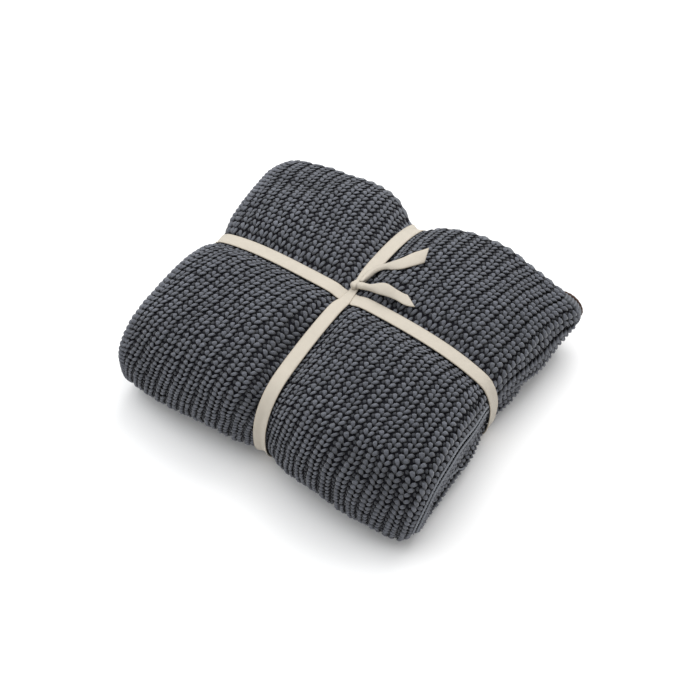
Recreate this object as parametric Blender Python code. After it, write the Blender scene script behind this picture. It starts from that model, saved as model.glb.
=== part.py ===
"""Chunky knit blanket, folded into a square packet and tied crosswise with a cotton ribbon.

The blanket is a thick half-cardigan knit. It is first folded twice across its ribs into a
strip of four plies, and the strip is then folded in three along its ribs, like a letter:
the top layer turns over a rounded front edge into the bottom layer, which turns back up
inside as the middle layer. The ribbon runs round the packet both ways and draws it into
four soft lobes. Metres, +Z up: X runs across the ribs, Y along them, and the packet
rests on Z = 0.
"""
from math import pi

import bmesh
import bpy
import numpy as np

# ---- the packet before the ribbon draws it in
HALF_WIDTH = 0.185        # across the ribs
HALF_DEPTH = 0.1635       # along the ribs
LAYER = 0.0415            # one layer of the letter fold: four plies of knit
GAP = 0.002               # air between two layers
HEIGHT = 3 * LAYER + 2 * GAP
FRONT_TURN = 0.056        # how far the front edge's round turn reaches
BACK_TURN = 0.034         # the same for the turn at the back
SIDE_TURN = 0.017         # the same for the folds along both sides
TURN_POWER = 2.36         # superellipse power of the turns: 2 is round, more is squarer
SIDE_POWER = 2.3
HEM_BULGE = 0.006         # how far each ply's end bulges from the end of a layer
HEM_CORNER = ((0.0, 0.005), (0.006, 0.0018), (0.0185, 0.0003))   # its corners: from the end, inset
MIDDLE_END = 0.010        # how far the middle layer reaches into the front turn
TURN_INNER = 0.9          # the front turn's inner face lies this share of a layer inside its outer one

# ---- ribs on the outer face
RIB_COUNT = 24
RIB_DEPTH = 0.0024

# ---- how the ribbon and the packing have shaped it
LOBES = {                 # height factor, and how far the lobe's corner is drawn in
    "left": (1.071, 0.030),
    "front": (1.097, 0.0875),
    "right": (0.983, 0.017),
    "back": (0.933, 0.046),
}
CROWN_X = (0.195, 0.272)  # how much lower the lobes are at the -X and the +X side
CROWN_Y = (0.111, 0.296)  # the same at the front and at the back
CROWN_POWERS = (3.74, 3.0)   # how late they fall away, across and along
ACROSS_Y = 0.011          # where the ribbon across the ribs lies
ALONG_X = -0.0045         # where the ribbon along the ribs lies
ACROSS_DIP, ACROSS_REACH = 0.180, 0.0278
ALONG_DIP, ALONG_REACH = 0.182, 0.0259
GROOVE_FLAT = 0.008       # half the flat floor of each groove
GROOVE_POWER = 1.43       # how softly a groove's sides leave its floor
LOBE_BLEND = 0.045        # over this distance one lobe's height passes into the next
PINCH_SIDES, PINCH_ENDS, PINCH_REACH = 0.024, 0.1025, 0.027
WAIST = -0.011            # the sides bow in or out between the corners
SKEW = -0.039             # the packet isn't folded quite square
DROOP = (0.60, 0.27)      # the upper layers' sag over the lower ones at the +X side; more at the back
TUCK = (0.011, 0.036)     # how far the lower layers are drawn in under the +X side; more at the back
OVERHANG = 0.005          # how far the top layer's side hangs out at the back
BACK_FROM, BACK_OVER = 0.020, 0.070   # where these begin, and over what distance they grow
UNDERSIDE_LIFT = 0.006    # the ribbon also lifts the underside, so that it clears the floor
UNDERSIDE_REACH = 0.042   # beyond it the underside is flat on the floor
CENTRE = (0.0017, -0.0029)   # moves the packet's box over the origin

# ---- where the sections lie along the strip, as distances along the ribs, back positive
BESIDE_GROOVE = (0.030, 0.018, GROOVE_FLAT, 0.0, -GROOVE_FLAT, -0.018, -0.030)
TOP_BEHIND, TOP_BEFORE = (0.114, 0.086, 0.060), (-0.048, -0.075, -0.095)
UNDER_BEFORE, UNDER_BEHIND = (ACROSS_Y - UNDERSIDE_REACH,), (ACROSS_Y + UNDERSIDE_REACH, 0.100)
MIDDLE_BEHIND, MIDDLE_BEFORE = (0.075,), (-0.060,)
INNER_FACE = (0.150, 0.125, 0.100, 0.075, 0.055, 0.040, 0.028, 0.018, GROOVE_FLAT, 0.0)

# ---- ribbon
RIBBON_WIDTH = 0.0155
RIBBON_THICK = 0.0010
RIBBON_OFF = 0.0016       # from the ribs to the lower ribbon
RIBBON_OVER = 0.0013      # from the lower ribbon's floor to the upper ribbon's
RIBBON_STEP = 0.012       # between the ribbon's sections on a straight run
BACK_CORNER = (0.012, 0.016)   # how far the ribbon's turns at the back reach, out and up
KNOT_CENTRE = (-0.0035, 0.0210, 0.1105)
KNOT_RADII = (0.0105, 0.0085, 0.0060)

# ---- linked edging on the free hem
EDGING_RADIUS = 0.0021
EDGING_CLEAR = 0.0012
EDGING_FOLD = (0.1635, 0.0125)   # where it turns down with the closed fold, and the turn's reach
EDGING_LEVELS = (0.016, 0.006)   # how far below the top it lies, along the hem and at the corner
EDGING_END = -1.2                # the angle round the fold where it ends

# ---- finishes: colour, roughness
KNIT = ("slate_knit", (0.070, 0.074, 0.086), 0.95)
TAPE = ("cream_tape", (0.780, 0.720, 0.600), 0.80)
EDGING = ("brown_edging", (0.075, 0.042, 0.030), 0.85)


def superellipse(angle, power):
    """Cosine and sine raised to 2/power, keeping their signs."""
    c, s = np.cos(angle), np.sin(angle)
    return np.sign(c) * np.abs(c) ** (2 / power), np.sign(s) * np.abs(s) ** (2 / power)


def smooth(t):
    """Smooth step from 0 to 1."""
    t = np.clip(t, 0.0, 1.0)
    return t * t * (3 - 2 * t)


def bell(distance, reach):
    """1 on a groove's flat floor, falling softly to 0 outside it."""
    away = np.maximum(np.abs(distance) - GROOVE_FLAT, 0) / reach
    return 1 / (1 + away ** GROOVE_POWER) ** 2


def lobe_value(x, y, column):
    """The lobes' table value at x, y, blended across the two grooves."""
    left, front, right, back = (LOBES[name][column] for name in ("left", "front", "right", "back"))
    east = 0.5 * (1 + np.tanh((x - ALONG_X) / LOBE_BLEND))
    north = 0.5 * (1 + np.tanh((y - ACROSS_Y) / LOBE_BLEND))
    south_row = (1 - east) * left + east * front
    north_row = (1 - east) * back + east * right
    return (1 - north) * south_row + north * north_row


def shape(points):
    """Carry points of the plain folded packet into the tied one.

    Height is scaled by the lobes' crowns less the grooves, levels sag along the +X side,
    and the plan is drawn in at the corners, beside the ribbon and along the sides.
    """
    x, y, z = points[..., 0], points[..., 1], points[..., 2]
    u, v, w = x / HALF_WIDTH, y / HALF_DEPTH, z / HEIGHT
    from_across, from_along = np.abs(y - ACROSS_Y), np.abs(x - ALONG_X)
    dips = (ACROSS_DIP * bell(from_across, ACROSS_REACH)) ** 4
    dips = (dips + (ALONG_DIP * bell(from_along, ALONG_REACH)) ** 4) ** 0.25
    crown_x = np.where(u > 0, CROWN_X[1], CROWN_X[0]) * np.abs(u) ** CROWN_POWERS[0]
    crown_y = np.where(v > 0, CROWN_Y[1], CROWN_Y[0]) * np.abs(v) ** CROWN_POWERS[1]
    tall = lobe_value(x, y, 0) * (1 - crown_x) * (1 - crown_y) * (1 - dips)
    side, back = np.clip(u, 0, 1.02), smooth((y - BACK_FROM) / BACK_OVER)
    level = w - (DROOP[0] + DROOP[1] * back) * side ** 5 * (w - w ** 4)
    lifted = 1 - smooth(from_across / UNDERSIDE_REACH) * smooth(from_along / UNDERSIDE_REACH)

    corner = lobe_value(x, y, 1)
    pinch_x = PINCH_SIDES * np.exp(-(from_across / PINCH_REACH) ** 1.3) * u ** 2
    pinch_y = PINCH_ENDS * np.exp(-(from_along / PINCH_REACH) ** 1.3) * v ** 2
    tucked = ((TUCK[0] + TUCK[1] * back) * (1 - w) ** 2 - OVERHANG * back) * side ** 3
    out_x = x * (1 - pinch_x) * (1 - corner * v ** 4) + WAIST * (1 - v * v) * u + SKEW * y - tucked
    out_x = out_x + CENTRE[0]
    out_y = y * (1 - pinch_y) * (1 - corner * u ** 4) + CENTRE[1]
    out_z = HEIGHT * level * tall + UNDERSIDE_LIFT * lifted * (1 - w)
    return np.stack([out_x, out_y, out_z], axis=-1)


def fold_stations():
    """The strip's path: rows of outer y, outer z, inner y, inner z, rib depth and side inset.

    Top layer from the back to the front, round the front turn, bottom layer to the back,
    round the back turn, and the middle layer to the front again.
    """
    rows = []
    turn_y = -HALF_DEPTH + FRONT_TURN
    back_y = HALF_DEPTH - BACK_TURN
    mid_z = LAYER + GAP / 2
    groove = [ACROSS_Y + step for step in BESIDE_GROOVE]
    hem_y = HALF_DEPTH - HEM_BULGE
    for step, inset in HEM_CORNER:
        rows.append((hem_y - step, HEIGHT, hem_y - step, HEIGHT - LAYER, RIB_DEPTH, inset))
    for y in [*TOP_BEHIND, *groove, *TOP_BEFORE]:
        rows.append((y, HEIGHT, y, HEIGHT - LAYER, RIB_DEPTH, 0.0))
    for angle in np.linspace(pi / 2, 1.5 * pi, 11):
        c, s = superellipse(angle, TURN_POWER)
        outer = (turn_y + FRONT_TURN * c, HEIGHT / 2 + HEIGHT / 2 * s)
        inner = (turn_y + (FRONT_TURN - TURN_INNER * LAYER) * c,
                 HEIGHT / 2 + (HEIGHT / 2 - LAYER) * s)
        ribs = RIB_DEPTH * smooth(4 * outer[1] / HEIGHT)
        rows.append((*outer, *inner, ribs, 0.0))
    for y in [*UNDER_BEFORE, *groove[::-1], *UNDER_BEHIND]:
        rows.append((y, 0.0, y, LAYER, 0.0, 0.0))
    for angle in np.linspace(-pi / 2, pi / 2, 7):
        c, s = superellipse(angle, TURN_POWER)
        ribs = RIB_DEPTH * smooth((angle + pi / 2) / pi)
        rows.append((back_y + BACK_TURN * c, mid_z + mid_z * s,
                     back_y + 2 * GAP * c, mid_z + GAP / 2 * s, ribs, 0.0))
    for y in [*MIDDLE_BEHIND, *groove, *MIDDLE_BEFORE, turn_y - MIDDLE_END]:
        rows.append((y, 2 * LAYER + GAP, y, LAYER + GAP, RIB_DEPTH, 0.0))
    return np.array(rows)


PLY_LEVELS = np.linspace(0.5, -0.5, 9)    # ply edges and ply middles through a layer
PLY_INSETS = (1.0, 0.32, 0.70, 0.12, 0.65, 0.18, 0.02, 0.32, 1.0)   # -X side, of SIDE_TURN
PLY_ENDS = (0.0, 0.8, 0.25, 1.0, 0.2, 1.0, 0.25, 0.8, 0.0)         # layer ends, of HEM_BULGE


def strip_section():
    """The strip's cross-section: x, level through the layer, and 1 in a rib's valley.

    In order: the ribbed outer face towards +X, the closed +X fold, the inner face back,
    and the -X side, where two selvages and one fold show as separate plies.
    """
    flat = HALF_WIDTH - SIDE_TURN
    outer = np.linspace(-flat, flat, 2 * RIB_COUNT + 1)
    valleys = np.arange(outer.size) % 2 == 0
    inner = np.array(INNER_FACE)
    inner = ALONG_X + np.concatenate([inner, -inner[-2::-1]])
    fold = HALF_WIDTH - SIDE_TURN * (1 - (1 - np.abs(2 * PLY_LEVELS) ** SIDE_POWER) ** (1 / SIDE_POWER))
    plies = -HALF_WIDTH + SIDE_TURN * np.array(PLY_INSETS)
    x = np.concatenate([outer, fold[1:-1], [flat], inner, [-flat], plies[-2:0:-1]])
    level = np.concatenate([np.full(outer.size, 0.5), PLY_LEVELS[1:-1],
                            np.full(inner.size + 2, -0.5), PLY_LEVELS[-2:0:-1]])
    valley = np.zeros(x.size)
    valley[:outer.size] = valleys
    return x, level, valley, outer.size, inner.size + 2


def strip_points(stations, x, level, valley):
    """Every station's ring of points, before shaping."""
    outer, inner = stations[:, None, 0:2], stations[:, None, 2:4]
    through = outer - inner
    thick = np.linalg.norm(through, axis=-1, keepdims=True)
    yz = inner + through * (0.5 + level[None, :, None])
    yz = yz - through / thick * stations[:, None, 4:5] * valley[None, :, None]
    drawn_in = x[None, :, None] * (1 - stations[:, None, 5:6] / HALF_WIDTH)
    return np.concatenate([drawn_in, yz], axis=-1)


def zip_rows(row_a, row_b, xs):
    """Triangles between two rows of point numbers that run the same way with rising x."""
    faces, i, j = [], 0, 0
    while i < len(row_a) - 1 or j < len(row_b) - 1:
        step_a = i < len(row_a) - 1
        if step_a and j < len(row_b) - 1:
            step_a = xs[row_a[i + 1]] + xs[row_a[i]] <= xs[row_b[j + 1]] + xs[row_b[j]]
        if step_a:
            faces.append((row_a[i], row_b[j], row_a[i + 1]))
            i += 1
        else:
            faces.append((row_a[i], row_b[j], row_b[j + 1]))
            j += 1
    return faces


def layer_end(points, faces, ring, counts, direction):
    """Close one end of the strip with rows that bulge at each ply's middle."""
    outer_count, inner_count = counts
    side = len(PLY_LEVELS) - 2
    x_side = ring[outer_count:outer_count + side]
    inner = ring[outer_count + side:outer_count + side + inner_count][::-1]
    minus_side = ring[outer_count + side + inner_count:][::-1]
    xs = {n: points[n][0] for n in ring}
    rows = [list(ring[:outer_count])]
    top, bottom = np.array(points[ring[outer_count // 2]]), np.array(points[inner[len(inner) // 2]])
    for k in range(1, side + 1):
        row = [minus_side[k - 1]]
        share = 0.5 - PLY_LEVELS[k]
        for n in inner[1:-1]:
            y, z = top[1:] + (bottom[1:] - top[1:]) * share
            y += direction * HEM_BULGE * PLY_ENDS[k]
            points.append((points[n][0], y, z))
            row.append(len(points) - 1)
            xs[row[-1]] = points[n][0]
        row.append(x_side[k - 1])
        rows.append(row)
    rows.append(list(inner))
    for upper, lower in zip(rows, rows[1:]):
        for triangle in zip_rows(upper, lower, xs):
            faces.append(triangle if direction > 0 else triangle[::-1])


def finish_object(name, points, faces, finish, smooth_shading=True):
    """Make the object from points and faces, triangulated and facing outwards."""
    mesh = bpy.data.meshes.new(name)
    mesh.from_pydata([tuple(map(float, point)) for point in points], [], faces)
    work = bmesh.new()
    work.from_mesh(mesh)
    bmesh.ops.triangulate(work, faces=work.faces[:])
    bmesh.ops.recalc_face_normals(work, faces=work.faces[:])
    work.to_mesh(mesh)
    work.free()
    if smooth_shading:
        mesh.shade_smooth()
        mesh.set_sharp_from_angle(angle=pi / 3)
    thing = bpy.data.objects.new(name, mesh)
    bpy.context.scene.collection.objects.link(thing)
    mesh.materials.append(material(*finish))
    return thing


def material(name, colour, roughness):
    """A plain Principled material, made once."""
    if name in bpy.data.materials:
        return bpy.data.materials[name]
    made = bpy.data.materials.new(name)
    made.use_nodes = True
    shader = made.node_tree.nodes["Principled BSDF"]
    shader.inputs["Base Color"].default_value = (*colour, 1.0)
    shader.inputs["Roughness"].default_value = roughness
    shader.inputs["Metallic"].default_value = 0.0
    made.diffuse_color = (*colour, 1.0)
    return made


def ring_faces(stations, size, closed=False):
    """Quads between neighbouring rings of points."""
    faces = []
    for i in range(stations if closed else stations - 1):
        a, b = i * size, (i + 1) % stations * size
        for j in range(size):
            k = (j + 1) % size
            faces.append((a + j, a + k, b + k, b + j))
    return faces


def build_blanket():
    """The folded blanket, one solid."""
    stations = fold_stations()
    x, level, valley, outer_count, inner_count = strip_section()
    plain = strip_points(stations, x, level, valley)
    size = x.size
    points = [tuple(point) for point in plain.reshape(-1, 3)]
    faces = ring_faces(len(stations), size)
    last = (len(stations) - 1) * size
    counts = (outer_count, inner_count)
    layer_end(points, faces, list(range(size)), counts, 1.0)
    layer_end(points, faces, list(range(last, last + size)), counts, -1.0)
    return finish_object("knit_blanket", shape(np.array(points)), faces, KNIT)


def taut_loop(sides, low, high, turns, power, steps):
    """A rounded rectangle from side to side and low to high, with its outward normals."""
    corners = ((1, high, 0), (0, high, 1), (0, low, 2), (1, low, 3))
    outline = []
    for which, level, quarter in corners:
        turn_out, turn_up = turns[which]
        centre_a = sides[which] - np.sign(sides[which]) * turn_out
        centre_b = level + (turn_up if level == low else -turn_up)
        for angle in np.linspace(quarter * pi / 2, (quarter + 1) * pi / 2, steps):
            c, s = superellipse(angle, power)
            outline.append((centre_a + turn_out * c, centre_b + turn_up * s, c, s))
    outline = np.array(outline)
    runs = []
    for first, second in zip(outline, np.roll(outline, -1, axis=0)):
        count = max(1, int(round(np.hypot(*(second - first)[:2]) / RIBBON_STEP)))
        for share in np.arange(count) / count:
            runs.append(first + (second - first) * share)
    return np.array(runs)


def band(name, loop, lie_along_x):
    """A closed ribbon: its section, three points wide, carried round the loop and shaped."""
    normal = loop[:, 2:4] / np.linalg.norm(loop[:, 2:4], axis=1, keepdims=True)
    points = []
    for (a, b, _, _), (na, nb) in zip(loop, normal):
        for across, up in ((-1, 0), (0, 0), (1, 0), (1, 1), (0, 1), (-1, 1)):
            p, q = a + na * RIBBON_THICK * up, b + nb * RIBBON_THICK * up
            offset = across * RIBBON_WIDTH / 2
            points.append((p, ACROSS_Y + offset, q) if lie_along_x else (ALONG_X + offset, p, q))
    faces = ring_faces(len(loop), 6, closed=True)
    return finish_object(name, shape(np.array(points)), faces, TAPE, False)


def tail(name, centres, widths, sideways):
    """A free end of ribbon: flat section carried along its centre line."""
    centres, widths = np.array(centres), np.array(widths)
    run = np.gradient(centres, axis=0)
    sideways = np.array(sideways)
    side = sideways - run * (sideways * run).sum(1, keepdims=True) / (run * run).sum(1, keepdims=True)
    side /= np.linalg.norm(side, axis=1, keepdims=True)
    up = np.cross(run, side)
    up /= np.linalg.norm(up, axis=1, keepdims=True)
    points = []
    for centre, width, s, n in zip(centres, widths, side, up):
        for across, high in ((-0.5, -0.5), (0, -0.5), (0.5, -0.5), (0.5, 0.5), (0, 0.5), (-0.5, 0.5)):
            points.append(centre + s * across * width + n * high * RIBBON_THICK)
    size, count = 6, len(centres)
    faces = ring_faces(count, size)
    faces += [tuple(range(size)), tuple(range((count - 1) * size, count * size))[::-1]]
    return finish_object(name, points, faces, TAPE, False)


def build_knot():
    """The knot: a flattened superellipsoid over the crossing."""
    rings, sides = 9, 16
    points = []
    for polar in np.linspace(0, pi, rings)[1:-1]:
        for turn in np.linspace(0, 2 * pi, sides, endpoint=False):
            cp, sp = superellipse(polar, 2.3)
            ct, st = superellipse(turn, 2.3)
            points.append((sp * ct, sp * st, cp))
    points += [(0, 0, 1), (0, 0, -1)]
    top, bottom = len(points) - 2, len(points) - 1
    faces = []
    for i in range(rings - 3):
        for j in range(sides):
            k = (j + 1) % sides
            faces.append((i * sides + j, i * sides + k, (i + 1) * sides + k, (i + 1) * sides + j))
    low = (rings - 3) * sides
    for j in range(sides):
        k = (j + 1) % sides
        faces += [(top, k, j), (bottom, low + j, low + k)]
    points = np.array(points) * np.array(KNOT_RADII) + np.array(KNOT_CENTRE)
    return finish_object("knot_form", points, faces, TAPE)


TAIL_UPPER = {            # the end that lies back along the ribbon, then turns to +X
    "centres": ((-0.003, 0.024, 0.1125), (0.001, 0.042, 0.1140), (0.006, 0.058, 0.1150),
                (0.018, 0.069, 0.1190), (0.031, 0.079, 0.1235), (0.043, 0.089, 0.1250)),
    "widths": (0.006, 0.008, 0.011, 0.0145, RIBBON_WIDTH, RIBBON_WIDTH),
    "sideways": ((1, 0, 0), (1, -0.3, 0.1), (0.8, -0.7, 0.2), (0.6, -0.8, 0.3), (0.6, -0.8, 0.2),
                 (0.5, -0.85, 0.1)),
}
TAIL_LOWER = {            # the end that stands out to +X in a low arch
    "centres": ((-0.001, 0.021, 0.1135), (0.010, 0.025, 0.1180), (0.023, 0.028, 0.1210),
                (0.037, 0.030, 0.1220), (0.049, 0.030, 0.1210), (0.058, 0.029, 0.1190)),
    "widths": (0.006, 0.010, 0.0135, RIBBON_WIDTH, RIBBON_WIDTH, RIBBON_WIDTH),
    "sideways": ((0, 1, 0.2), (0, 1, 0.2), (-0.2, 1, 0.25), (-0.1, 1, 0.25), (0, 1, 0.2), (0.3, 1, 0.1)),
}


def build_ribbon():
    """One ribbon: two bands round the packet, the knot and both free ends, joined."""
    lift = RIBBON_OFF
    across = taut_loop((-HALF_WIDTH - lift, HALF_WIDTH + lift), -lift, HEIGHT + lift,
                       ((SIDE_TURN + lift, LAYER / 2 + lift),) * 2, SIDE_POWER, 7)
    lift += RIBBON_OVER
    reach = 2 * (EDGING_CLEAR + EDGING_RADIUS)
    along = taut_loop((-HALF_DEPTH - lift, HALF_DEPTH + reach + lift), -lift, HEIGHT + lift,
                      ((FRONT_TURN + lift, HEIGHT / 2 + lift), BACK_CORNER), TURN_POWER, 9)
    ribbon = band("ribbon_tie", across, True)
    others = [band("band_along", along, False), build_knot(),
              tail("tail_upper", **TAIL_UPPER), tail("tail_lower", **TAIL_LOWER)]
    for other in others:
        union = ribbon.modifiers.new("join_" + other.name, "BOOLEAN")
        union.operation = "UNION"
        union.object = other
        other.hide_render = True
        other.display_type = "WIRE"
    return ribbon


def build_edging():
    """The linked edging: a cord along the free hem that turns down round the closed fold."""
    hem_y = HALF_DEPTH + EDGING_CLEAR + EDGING_RADIUS
    (fold_x, reach), (under, corner) = EDGING_FOLD, EDGING_LEVELS
    x = np.linspace(-HALF_WIDTH + 0.015, fold_x, 38)
    z = HEIGHT - under + (under - corner) * smooth((x - 0.100) / 0.060)
    c, s = superellipse(np.linspace(pi / 2, EDGING_END, 11)[1:], SIDE_POWER)
    middle = HEIGHT - LAYER / 2
    run = np.column_stack([np.concatenate([x, fold_x + reach * c]),
                           np.concatenate([z, middle + (LAYER / 2 - corner) * s])])
    along = np.gradient(run, axis=0)
    along /= np.linalg.norm(along, axis=1, keepdims=True)
    points = []
    for (x, z), (ax, az) in zip(run, along):
        for angle in np.linspace(0, 2 * pi, 8, endpoint=False):
            out = 1.1 * EDGING_RADIUS * np.cos(angle)
            points.append((x - az * out, hem_y + EDGING_RADIUS * np.sin(angle), z + ax * out))
    faces = ring_faces(len(run), 8)
    faces += [tuple(range(8)), tuple(range((len(run) - 1) * 8, len(run) * 8))[::-1]]
    return finish_object("hem_edging", shape(np.array(points)), faces, EDGING)


def main():
    for old in list(bpy.data.objects):
        bpy.data.objects.remove(old, do_unlink=True)
    build_blanket()
    build_ribbon()
    build_edging()


main()
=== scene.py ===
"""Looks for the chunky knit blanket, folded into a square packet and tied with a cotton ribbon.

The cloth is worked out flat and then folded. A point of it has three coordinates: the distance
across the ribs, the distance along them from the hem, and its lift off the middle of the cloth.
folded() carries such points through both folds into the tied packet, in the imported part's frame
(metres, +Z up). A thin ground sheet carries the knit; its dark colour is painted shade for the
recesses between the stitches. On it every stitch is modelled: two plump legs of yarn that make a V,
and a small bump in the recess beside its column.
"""

from functools import partial
from math import cos, pi, radians, sin

import bpy
import numpy as np
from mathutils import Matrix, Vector


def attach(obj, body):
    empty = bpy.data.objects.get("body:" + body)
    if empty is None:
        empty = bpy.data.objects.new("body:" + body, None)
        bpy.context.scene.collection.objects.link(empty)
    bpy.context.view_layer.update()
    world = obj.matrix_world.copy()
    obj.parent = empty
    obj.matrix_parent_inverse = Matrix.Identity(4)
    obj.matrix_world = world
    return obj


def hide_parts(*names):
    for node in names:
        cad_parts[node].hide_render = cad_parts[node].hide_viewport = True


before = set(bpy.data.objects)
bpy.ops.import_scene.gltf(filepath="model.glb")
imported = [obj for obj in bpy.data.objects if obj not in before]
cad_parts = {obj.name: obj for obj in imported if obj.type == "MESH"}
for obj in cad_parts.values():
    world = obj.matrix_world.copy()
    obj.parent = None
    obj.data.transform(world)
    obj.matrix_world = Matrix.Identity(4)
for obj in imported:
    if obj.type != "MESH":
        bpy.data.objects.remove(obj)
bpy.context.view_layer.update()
rng = np.random.default_rng(11)
MM = 0.001

# ---- the packet, as in the part's source
HALF_WIDTH, HALF_DEPTH = 0.185, 0.1635          # across the ribs, and along them
LAYER, GAP = 0.0415, 0.002                      # one layer of the letter fold, and the air between two
HEIGHT = 3 * LAYER + 2 * GAP
FRONT_TURN, BACK_TURN, SIDE_TURN = 0.056, 0.034, 0.017   # how far each turn reaches past the flat layers
TURN_POWER, SIDE_POWER = 2.36, 2.3              # the turns' superellipse powers
TURN_INNER = 0.9             # the front turn's inner face lies this share of a layer inside its outer one
MIDDLE_END = 0.010           # how far the middle layer reaches into the front turn
LOBES = {"left": (1.071, 0.030), "front": (1.097, 0.0875),   # height, and how far the corner is drawn in
         "right": (0.983, 0.017), "back": (0.933, 0.046)}
CROWN_X, CROWN_Y, CROWN_POWERS = (0.195, 0.272), (0.111, 0.296), (3.74, 3.0)   # the lobes' fall outwards
ACROSS_Y, ALONG_X = 0.011, -0.0045              # the two ribbons' middle lines, and so the grooves'
ACROSS_DIP, ACROSS_REACH = 0.180, 0.0278        # the grooves' depths, as shares of the height
ALONG_DIP, ALONG_REACH = 0.182, 0.0259
GROOVE_FLAT, GROOVE_POWER, LOBE_BLEND = 0.008, 1.43, 0.045   # flat floor, soft sides, passing of heights
PINCH_SIDES, PINCH_ENDS, PINCH_REACH = 0.024, 0.1025, 0.027   # how far the ribbon draws the edges in
WAIST, SKEW = -0.011, -0.039                    # the sides' bow, and the plan's lean
DROOP, TUCK, OVERHANG = (0.60, 0.27), (0.011, 0.036), 0.005   # the right side's sag, tuck and overhang
BACK_FROM, BACK_OVER = 0.020, 0.070             # where its back form begins, and over what distance
UNDERSIDE_LIFT, UNDERSIDE_REACH = 0.006, 0.042  # how the ribbon lifts the underside
CENTRE = (0.0017, -0.0029)                      # moves the packet's box over the origin

# ---- the plies inside a layer
FOLD_POWER = 3.2             # the cloth's closed side fold, a little fuller than the layer's side
LEFT_EDGE = 0.1796           # the outer selvage's distance left of the middle
FLAT_X = HALF_WIDTH - SIDE_TURN                 # where the outer ply's side fold starts
FOLD_X, INNER_X, LAST_X = -0.1735, 0.164, -0.183   # the inner folds' places, and the inner selvage's
SIDE_FOLD, FOLD_HALF = 0.056, 0.014             # cloth round the side fold, and round half the left one
FOLD_REACH = 0.006           # how far the inner left fold reaches
# how far the sides are drawn in near the hem: distances from it, and the inset there
HEM_CORNER = ((-0.02, 0.008), (0.0, 0.005), (0.006, 0.0018), (0.0185, 0.0003), (0.03, 0.0))

# ---- the ribbon
RIBBON_WIDTH, RIBBON_THICK = 0.0155, 0.0010
RIBBON_OFF, RIBBON_OVER = 0.0016, 0.0013        # off the knit, and the upper ribbon off the lower
BACK_CORNER = (0.012, 0.016)                    # how the ribbon rounds the back
HEM_ROOM = 0.0066                               # how far past the hem it runs, round the edging
RIBBON_CUP, EDGE_THIN = 0.25 * MM, 0.5          # how its edges cup, and how far a free end's edges thin
GATHERED, GATHER_REACH = 0.48, 0.019            # the share of its width it loses at the knot

# ---- trim on the cloth's edges and in its side
EDGING_THICK, EDGING_ALONG = 0.0018, -0.0022    # its radius, and its place behind the hem
EDGING_FIRST, EDGING_LAST = 0.012, 0.386        # where it starts and ends across the cloth
EDGING_RISE, EDGING_LIFTS = (0.325, 0.352), (-0.0100, 0.0030)   # where it rises, and between which lifts
EDGING_LOOP, EDGING_SWELL, EDGING_OVAL = 0.0034, (0.84, 0.24), 1.1   # a loop's length, swell and height
EDGING_STEPS, CHAIN_STEP = (0.0012, 0.0008), 0.0011   # their mesh steps
CHAIN_THICK, CHAIN_LIFT, CHAIN_TONE = 0.0010, 0.0044, 1.9
CHAIN_LOOP, CHAIN_SWELL = 0.62, (0.50, 0.55)    # a loop's length in rows, and its swell
CHAIN_APART = 0.0052                            # between the double chain's lines
CHAIN_ROOM, CHAIN_FADE = 0.0050, 0.02           # how far columns move aside for it, and over what length
CHAIN_COLUMNS = (0.045, 0.025)                  # which columns do: their middle past the fold's start, and reach
# the two chains' paths: places along the cloth, and across it past the flat outer ply
OUTER_CHAIN = ((0.152, 0.0182), (0.232, 0.0182), (0.262, 0.0190), (0.303, 0.0200), (0.352, 0.0196))
MIDDLE_CHAIN = ((0.985, 0.046), (0.998, 0.040), (1.018, 0.016), (1.042, 0.012), (1.075, 0.010))

# ---- the knit
PLY = LAYER / 4              # one thickness of cloth in the packet
COLUMN = 0.0130              # from one raised column to the next
ROW = 0.00655                # from one stitch to the next in a column
GROUND_TOP, GROUND_BOTTOM = 0.0010, -0.0044   # the ground sheet's faces, as lifts
ROUND_LIFT = 0.0035          # distances across the ribs are measured at this lift
HEM_Y = HALF_DEPTH - 0.001   # the hem's place before the packet is shaped
SAME = 1e-6                  # points closer than this are one
EDGE_CLEAR, HEM_CLEAR = 0.0032, 0.0018        # no stitch sits closer to the selvage, or to the hem
EDGE_MARGIN = 0.014          # the folds' tables run on this far past the cloth's edges
FIRST_COLUMN = 0.0105        # from the selvage to the first column's middle
FIRST_ROW = 0.0030           # from the hem to the first row
OUTER_COLUMNS = 31           # columns on the outer ply and round the closed side fold
SIDE_COLUMNS = 23            # the first of them that shows at the side between the layers
BACK_STRETCH = 0.12          # cloth round the back turn, and on into the middle layer
LAST_CLEAR = 0.004           # the columns end this far before the cloth does
GROUND_FIRST = 0.004         # the ground sheet's narrow first strip, along the hem
GROUND_ACROSS = (0.0045, 0.0028, 0.0126)      # the ground sheet's mesh steps: outer ply, side fold, inside
GROUND_ALONG = (0.0062, 0.0050, 0.011, 0.0055, 0.010)   # top, front turn, underside, back turn, inside

# ---- unevenness: amplitude, wavelength across, wavelength along, phase
DRIFT_ACROSS = ((0.9 * MM, 0.31, 0.19, 0.15), (0.5 * MM, 0.12, -0.083, 0.60))
DRIFT_ALONG = ((1.5 * MM, 0.15, 0.60, 0.30), (0.8 * MM, 0.047, 0.21, 0.80))
PUFF = ((1.0 * MM, 0.13, 0.11, 0.20), (0.6 * MM, 0.071, -0.063, 0.55))

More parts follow.
